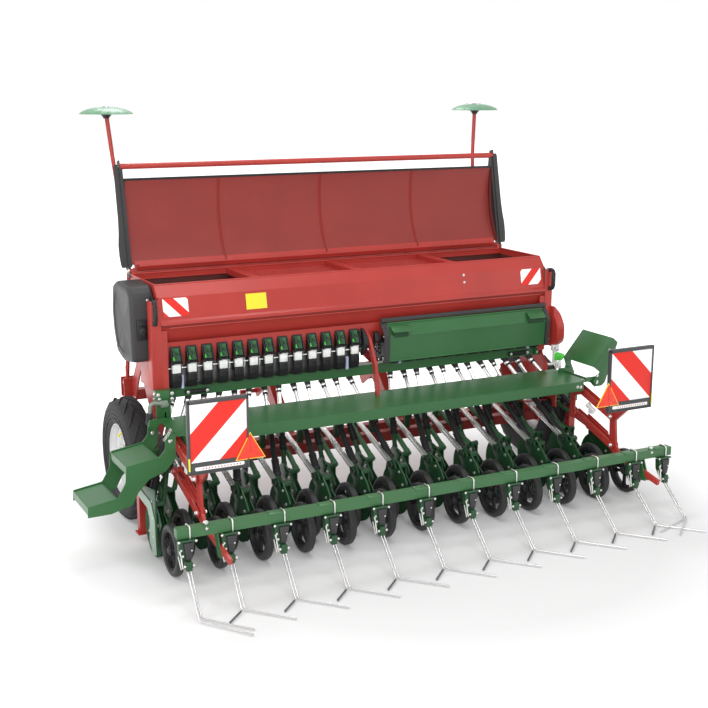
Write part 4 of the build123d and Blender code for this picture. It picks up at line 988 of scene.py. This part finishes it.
# --- Parking legs and row markers --------------------------------------------------------------
# Square red legs in sleeves with cross holes. The markers' red poles carry pressed steel discs with
# a scalloped edge, on black hubs with three bolts.
MARKER_X, LEG_X = 1266, 1429
coat(red, "parking_leg_left", "parking_leg_right")
for side, word in SIDES:
    hand, x, pole_x = word[0], side * LEG_X, side * MARKER_X
    pins, holes, foot, disc, pole, hub = blanks(6)
    bar(pins, (x - 34, 553, 480), (x + 38, 553, 480), 7, 12)
    path = [(x + 34, 553, 480), (x + 40, 553, 500), (x + 40, 575, 512), (x + 34, 590, 490)]
    bent_bar(pins, path, 2.5, 8, 10)
    fit(f"leg_pin_{word}", pins, steel)
    for z in (330, 420):
        turned(holes, (x - 22.4, 553, z), X, [(0, 6), (44.8, 6)], 14)
    block(holes, (x - 20, x + 20), (533, 573), (514, 517), 2)
    fit(f"leg_holes_{word}", holes, black, f"leg_{hand}")
    for way in BOTH:
        plate(foot, [(x + way * 34, 45), (x + way * 22, 45), (x + way * 22, 78)], 549, 557, "Y")
    fit(f"leg_gussets_{word}", foot, red, f"leg_{hand}")

    top, count = Vector((pole_x, 1519, 2297)), 96
    rings = []
    for radius, rise, wave in ((24, 7, 0), (70, 4, 0), (110, -5, 0), (140, -18, 0.3), (155, -29, 1.0)):
        spins = [2 * pi * k / count for k in range(count)]
        reaches = [radius - 5 * wave * abs(sin(8 * spin)) ** 6 for spin in spins]
        rings.append([top + Vector((reach * cos(spin), reach * sin(spin), rise))
                      for spin, reach in zip(spins, reaches)])
    skin(disc, rings + [[p - Z * 3.2 for p in ring] for ring in rings[::-1]], ring=True)
    pale = surface(f"marker_coat_{word}", (0.13, 0.28, 0.17), 0.42, mottle=0.12,
                   patch=10, coat=0.1)
    fit(f"marker_plate_{word}", disc, pale, f"marker_wheel_{hand}", [f"marker_disc_{word}"])
    knee = {"left": [(-1184, 1440, 1480), (-1238, 1500, 1953)],
            "right": [(1240, 1470, 1650), (1246, 1505, 1953)]}[word]
    bent_bar(pole, [(pole_x, 1309, 700), *knee, (pole_x, 1519, 2262)], 12.5, 16, 120, 8)
    bar(pole, (pole_x, 1519, 2250), (pole_x, 1519, 2306), 9, 16)
    tube(pole, (pole_x, 1294, 700), Y, 10.3, 26, 32, 28)
    outline = [(1300, 706), (1300, 760), (1330, 800), (1330, 716)]
    plate(pole, rounded(outline, 6), pole_x - 4, pole_x + 4, edge=1)
    fit(f"marker_pole_{word}", pole, red, f"marker_{hand}", [f"marker_arm_{word}"])
    turned(hub, top - Z * 58, Z, [(0, SHAFT_BORE), (0, 17), (8, 20), (20, 30), (38, 36), (52, 36), (62, 26),
                                  (68, 18), (68, SHAFT_BORE)], 32, ring=True)
    fit(f"marker_hub_{word}", hub, black, f"marker_wheel_{hand}")
    bolts(f"marker_bolts_{word}", [(top.x + 52 * cos(a), top.y + 52 * sin(a), top.z + 6.2, "up")
                                   for a in (0.3, 2.4, 4.5)], 11, f"marker_wheel_{hand}")

# --- Harrow ------------------------------------------------------------------------------------
# Two pairs of red arms carry posts and a green square beam. Each tine holder is a folded plate held
# by a strap over the beam, with a block that clamps two spring tines. Lamps and boards on the posts.
ARM_X, BEAM_END = 1303, 1463
beam_green = surface("beam_coat", (0.041, 0.132, 0.048), 0.38, mottle=0.02, grain=0.02,
                     coat=0.1)
tine_steel = surface("tine_steel", (0.56, 0.55, 0.55), 0.3, metallic=0.85, mottle=0.03,
                     patch=16, grain=0.01)
# The short tine tips get a dark copy of the tine steel: painted shade.
shaded_tip_steel = surface("tip_steel_painted_shade", (0.12, 0.12, 0.122), 0.45, metallic=0.6, mottle=0.2,
                    patch=30)
coat(red, "harrow_posts", "harrow_lower_arms", "harrow_upper_arms")
coat(beam_green, "harrow_beam")
coat(green, "beam_hangers")
HOLDERS = [-BEAM_END] + [round(276.5 * (i - 4.5), 2) for i in range(10)] + [BEAM_END]
beam_caps, pins, arm_trim, covers, stops, eyes, wear = blanks(7)
pair(beam_caps, (1508, 1518), (-310, -264), (311, 357), 3)
pair(beam_caps, (1500, 1514), (-307, -267), (314, 354), 1)
slope = (441 - 327) / (316 + 43)
strip = [(y, 327 + (y + 43) * slope + lift) for y, lift in ((40, 4), (40, 30), (236, 34), (248, 4))]
for side in BOTH:
    x = side * ARM_X
    for y, z in ((316, 441), (329, 615), (-43, 327), (-30, 501)):
        for hand in BOTH:
            turned(pins, (x + hand * 20, y, z), X * hand, [(0, 13), (3, 13), (3, 9), (11, 9), (13, 7)], 16)
        for low in (-20.5, 14.5):
            tube(arm_trim, (x + low, y, z), X, 15, 22, 6, 24)
    plate(covers, rounded(strip, 5), *span(side, 1327, 1331), edge=0.8)
    plate(covers, rounded([(y, z + 4) for y, z in strip], 5), *span(side, 1275, 1279), edge=0.8)
    x = side * 1296
    bar(stops, (x, 196, 514), (x, 140, 490), 13, 18)
    bar(stops, (x, 206, 518), (x, 190, 511), 17, 18)
    x = side * 1368
    turned(eyes, (x, -300, 352), Z, [(0, 8), (8, 8), (10, 12), (15, 15), (21, 15), (27, 10), (29, 0)], 20)
    turned(eyes, (x, -312, 349), -Z, [(0, 9), (5, 10), (12, 7), (15, 0)], 16)
    bar(eyes, (x, -300, 356), (x, -313, 346), 4, 10)
pair(stops, (1285, 1307), (150, 186), (470, 498), 3)
for x in HOLDERS[2:]:
    block(wear, (x - 72, x + 14), (-313, -262), (358.5, 362), 1)
    block(wear, (x - 72, x + 14), (-314, -311.5), (350, 362), 1)
fit("beam_end_caps", beam_caps, arm_green, "harrow")
fit("harrow_pins", pins, steel)
fit("harrow_pin_rings", arm_trim, red)
fit("arm_cover_plates", covers, red, "harrow_lower")
fit("harrow_stops", stops, cast, "harrow_lower")
fit("beam_eye_bolts", eyes, zinc, "harrow")
fit("beam_wear_plates", wear, beam_green, "harrow")

# Straps over the beam, and the holder below it: a green clamp plate, a dark plate and the tine block.
strap, clamp, dark_plate, link_bar, tines, tips = blanks(6)
bent_bar(strap, [(8, -260, 300), (8, -258, 366), (8, -316, 366), (8, -316, 300)], 4.2, 10, 12)
fit("beam_straps", strap, zinc, "harrow", at=[(x, 0, 0) for x in HOLDERS])
block(clamp, (-40, 40), (-330, -262), (299, 304), 1)
block(clamp, (-46, 44), (-336, -326), (298, 309), 2)
outline = [(-40, 298), (38, 298), (34, 270), (20, 200), (-24, 200), (-36, 270)]
plate(clamp, rounded(outline, 5), -326, -318, "Y", 1)
block(clamp, (-15, 15), (-354, -326), (156, 204), 3)
pair(clamp, (15, 20), (-349, -332), (168, 196), 2)
outline = [(-336, 298), (-300, 298), (-306, 240), (-338, 196), (-344, 230)]
plate(clamp, rounded(outline, 5), -44, -38, edge=1)
under = [(x - 11, 0, 0) for x in HOLDERS]
fit("holder_clamps", clamp, dark_green, "harrow", ["tine_holders"], "green_paint", under)
outline = [(-20, 294), (32, 294), (29, 262), (17, 208), (-9, 208), (-16, 262)]
plate(dark_plate, rounded(outline, 4), -338, -326, "Y", 2)
fit("holder_plates", dark_plate, graphite, "harrow", at=under)
bar(link_bar, (-42, -338, 262), (-30, -344, 172), 4.5, 10)
bar(link_bar, (-50, -336, 236), (-38, -342, 168), 3, 8)
fit("holder_links", link_bar, zinc, "harrow", at=under)
holder_bolts = ((-55, -336, 304), (-46, -336, 262), (-38, -336, 232), (32, -336, 301), (8, -336, 256),
                (-33, -350, 184), (12, -350, 184))
bolts("holder_bolts", [(x + dx, y, z, "rear") for x in HOLDERS for dx, y, z in holder_bolts], 8, "harrow")
for x in HOLDERS:
    if x < -1400:
        shapes = (((-3, -341, 162), (-36, -572, 11), (142, -790, 9), 14),
                  ((-19, -341, 162), (-54, -600, 11), (118, -838, 9), 14))
    elif x < 1400:
        shapes = (((-3, -341, 162), (-36, -572, 11), (142, -768, 9), 14),)
        elbow = Vector((x - 53, -576, 12))
        bent_bar(tines, [(x - 19, -341, 162), elbow, elbow + Vector((-12, -11, -0.6))], 4.8, 10, 8, 4)
        # The short tip, in the dark steel of painted shade.
        bar(tips, elbow + Vector((-10, -9, -0.5)), (x - 150, -668, 8), 5, 10)
    else:
        shapes = (((-3, -341, 162), (-33, -566, 12), (-240, -744, 8), 20),
                  ((-19, -341, 162), (-49, -566, 12), (-299, -656, 8), 20))
    for *path, bend in shapes:
        bent_bar(tines, [(x + dx, y, z) for dx, y, z in path], 4.8, 10, bend, 5)
fit("spring_tines", tines, tine_steel, "harrow", ["harrow_tines"])
fit("tine_tips", tips, shaded_tip_steel, "harrow")

# Warning boards: a dark frame with a reflecting film, the lamp strip in its lower edge.
board_grey = surface("board_frame", (0.05, 0.052, 0.054), 0.45, mottle=0.1)
coat(board_grey, "warning_boards")
BOARD_LOW, BOARD_TOP = 650, 941
for side, word in SIDES:
    sheet, rim, lamp, dots, amber = blanks(5)
    x, lens_x = span(side, 1116, 1408), span(side, 1133, 1388)
    rising = side < 0
    film = banded(f"board_film_{word}", SIGNAL, (x[0], BOARD_LOW), (x[1], BOARD_TOP), rising,
                  0.5 if rising else 0, 0.5, 1)
    block(sheet, x, (-224.6, -222.4), (BOARD_LOW, BOARD_TOP), 1)
    block(rim, (x[0] - 11, x[1] + 11), (-229, -221), (BOARD_TOP, 960), 3)
    block(rim, (x[0] - 11, x[1] + 11), (-229, -221), (590, 596), 2)
    for edges in ((x[0] - 11, x[0]), (x[1], x[1] + 11)):
        block(rim, edges, (-229, -221), (590, 960), 3)
    block(rim, x, (-226, -222), (596, BOARD_LOW), 1)
    strip = [(lens_x[0], 609), (lens_x[0], 627), (lens_x[1], 627), (lens_x[1], 609)]
    plate(lamp, rounded(strip, 8, 5), -228.5, -225, "Y", 1)
    for k in range(13):
        turned(dots, (lens_x[0] + 40 + 16 * k, -228, 618), -Y, [(-1, 3.4), (1, 3.4), (1.6, 0)], 12)
    block(amber, span(side, 1413, 1420), (-232, -222), (610, 676), 1.5)
    fit(f"board_face_{word}", sheet, film, "harrow")
    fit(f"board_rim_{word}", rim, board_grey, "harrow")
    fit(f"board_lamp_{word}", lamp, surface(f"lamp_white_{word}", (0.8, 0.8, 0.79), 0.35,
                                            mottle=0.03), "harrow")
    lamp_red = surface(f"lamp_red_{word}", (0.42, 0.05, 0.04), 0.3)
    fit(f"board_lamp_dots_{word}", dots, lamp_red, "harrow")
    fit(f"board_side_marker_{word}", amber, yellow, "harrow")

# Triangular reflectors, with a bright edge and three folds that meet in a ring.
bright_edge = surface("reflector_edge", (0.8, 0.5, 0.03), 0.3, mottle=0.04, coat=0.4)
coat(bright_edge, "board_triangles")
field = surface("reflector_field", (0.78, 0.04, 0.015), 0.25, mottle=0.06, patch=60,
                grain=0.3, grain_size=1500, coat=0.15)
faces_of, lines = blanks(2)
for side in BOTH:
    corners = [Vector((side * x, z)) for x, z in ((1180, 632), (1020, 632), (1100, 770))]
    middle = sum(corners, Vector((0, 0))) / 3
    inner = [middle + (c - middle) * 0.91 for c in corners]
    plate(faces_of, inner, -229.6, -227, "Y", 0.6)
    centre = Vector((middle.x, -229.8, middle.y))
    for k, corner in enumerate(inner):
        run = Vector((corner.x, -230, corner.y)) - Vector((middle.x, -230, middle.y))
        bar(lines, centre + run * 0.03, centre + run * 0.9, 0.9, 6, 0.2)
        edge_middle = (corner + inner[(k + 1) % 3]) / 2
        bar(lines, centre, (edge_middle.x, -229.8, edge_middle.y), 0.7, 6, 0.2)
fit("triangle_fields", faces_of, field, "harrow")
fit("triangle_folds", lines, surface("reflector_line", (0.4, 0.02, 0.01), 0.3, mottle=0.04),
    "harrow")

# --- Floor, light and camera -------------------------------------------------------------------
# A pale seamless floor under broad lights: the strongest from behind the camera, a key light over
# the far side, and weaker ones from the left, from above and from the right.
WHITE = (1, 1, 1, 1)
floor_mesh = bmesh.new()
block(floor_mesh, (-40000, 40000), (-40000, 40000), (-20, 0))
floor = bpy.data.objects.new("floor", mesh_of(floor_mesh, "floor"))
floor_painted_glow = surface("studio_floor_painted_glow", (0.85, 0.85, 0.85), 0.8, mottle=0.01, grain=0.02)
# To the camera the floor is greyer than to the light it throws back, and for the camera and in reflections
# it glows: faintly within 1.3 m of the middle, up to almost white past 3.8 m. The glow is painted light that
# fades the floor into a white backdrop away from the machine.
tree = floor_painted_glow.node_tree
ray = add(tree, "ShaderNodeLightPath", {})
away = add(tree, "ShaderNodeVectorMath", {0: tree.nodes["Texture Coordinate"].outputs["Object"]},
           operation="LENGTH")
rise = add(tree, "ShaderNodeMapRange", {"Value": away["Value"], "From Min": 1.3, "From Max": 3.8,
                                        "To Min": 0.08, "To Max": 0.95})
seen = reckon(tree, "MAXIMUM", ray["Is Camera Ray"], ray["Is Glossy Ray"])
colour = add(tree, "ShaderNodeMix", {"Factor": ray["Is Camera Ray"], "B": (0.6, 0.6, 0.6, 1),
                                     "A": tree.nodes["Color Ramp"].outputs["Color"]}, data_type="RGBA")
wire(tree, tree.nodes["Principled BSDF"], {
    "Base Color": colour["Result"], "Emission Color": WHITE,
    "Emission Strength": reckon(tree, "MULTIPLY", seen, rise["Result"])})
floor.data.materials.append(floor_painted_glow)
bpy.context.scene.collection.objects.link(floor)
world = bpy.data.worlds.new("studio")
bpy.context.scene.world = world
world.use_nodes = True
tree = world.node_tree
ray = add(tree, "ShaderNodeLightPath", {})
seen = reckon(tree, "MAXIMUM", reckon(tree, "MAXIMUM", ray["Is Camera Ray"], ray["Is Transmission Ray"]),
              ray["Is Glossy Ray"])
wire(tree, tree.nodes["Background"], {"Color": WHITE, "Strength": 0.66})
bright = add(tree, "ShaderNodeBackground", {"Color": WHITE, "Strength": 1.0})
choose = add(tree, "ShaderNodeMixShader", {"Fac": seen, 1: tree.nodes["Background"].outputs["Background"],
                                           2: bright["Background"]})
wire(tree, tree.nodes["World Output"], {"Surface": choose["Shader"]})
for word, place, power, size in (("key", (0.4, 5.0, 6.4), 190, 2.4), ("side", (-5.2, 2.0, 4.6), 100, 2.5),
                                 ("top", (0.1, -0.4, 6.2), 75, 1.8), ("rear", (-3.6, -5.2, 3.2), 230, 3.5),
                                 ("fill", (4.5, -3.5, 3.2), 45, 4.0)):
    light = bpy.data.lights.new(word, "AREA")
    light.energy = power
    light.size = size
    lamp = bpy.data.objects.new(word, light)
    lamp.location = place
    lamp.rotation_euler = (Vector((0, 0.5, 0.7)) - Vector(place)).to_track_quat("-Z", "Y").to_euler()
    bpy.context.scene.collection.objects.link(lamp)
bpy.context.scene.view_settings.view_transform = "Standard"
lens = bpy.data.cameras.new("camera")
lens.lens = 61.49
lens.sensor_width = 36
lens.clip_end = 200
camera = bpy.data.objects.new("camera", lens)
camera.location = (-3.220, -5.547, 2.433)
camera.rotation_euler = Vector((0.4405, 0.8710, -0.2176)).to_track_quat("-Z", "Y").to_euler()
bpy.context.scene.collection.objects.link(camera)
bpy.context.scene.camera = camera
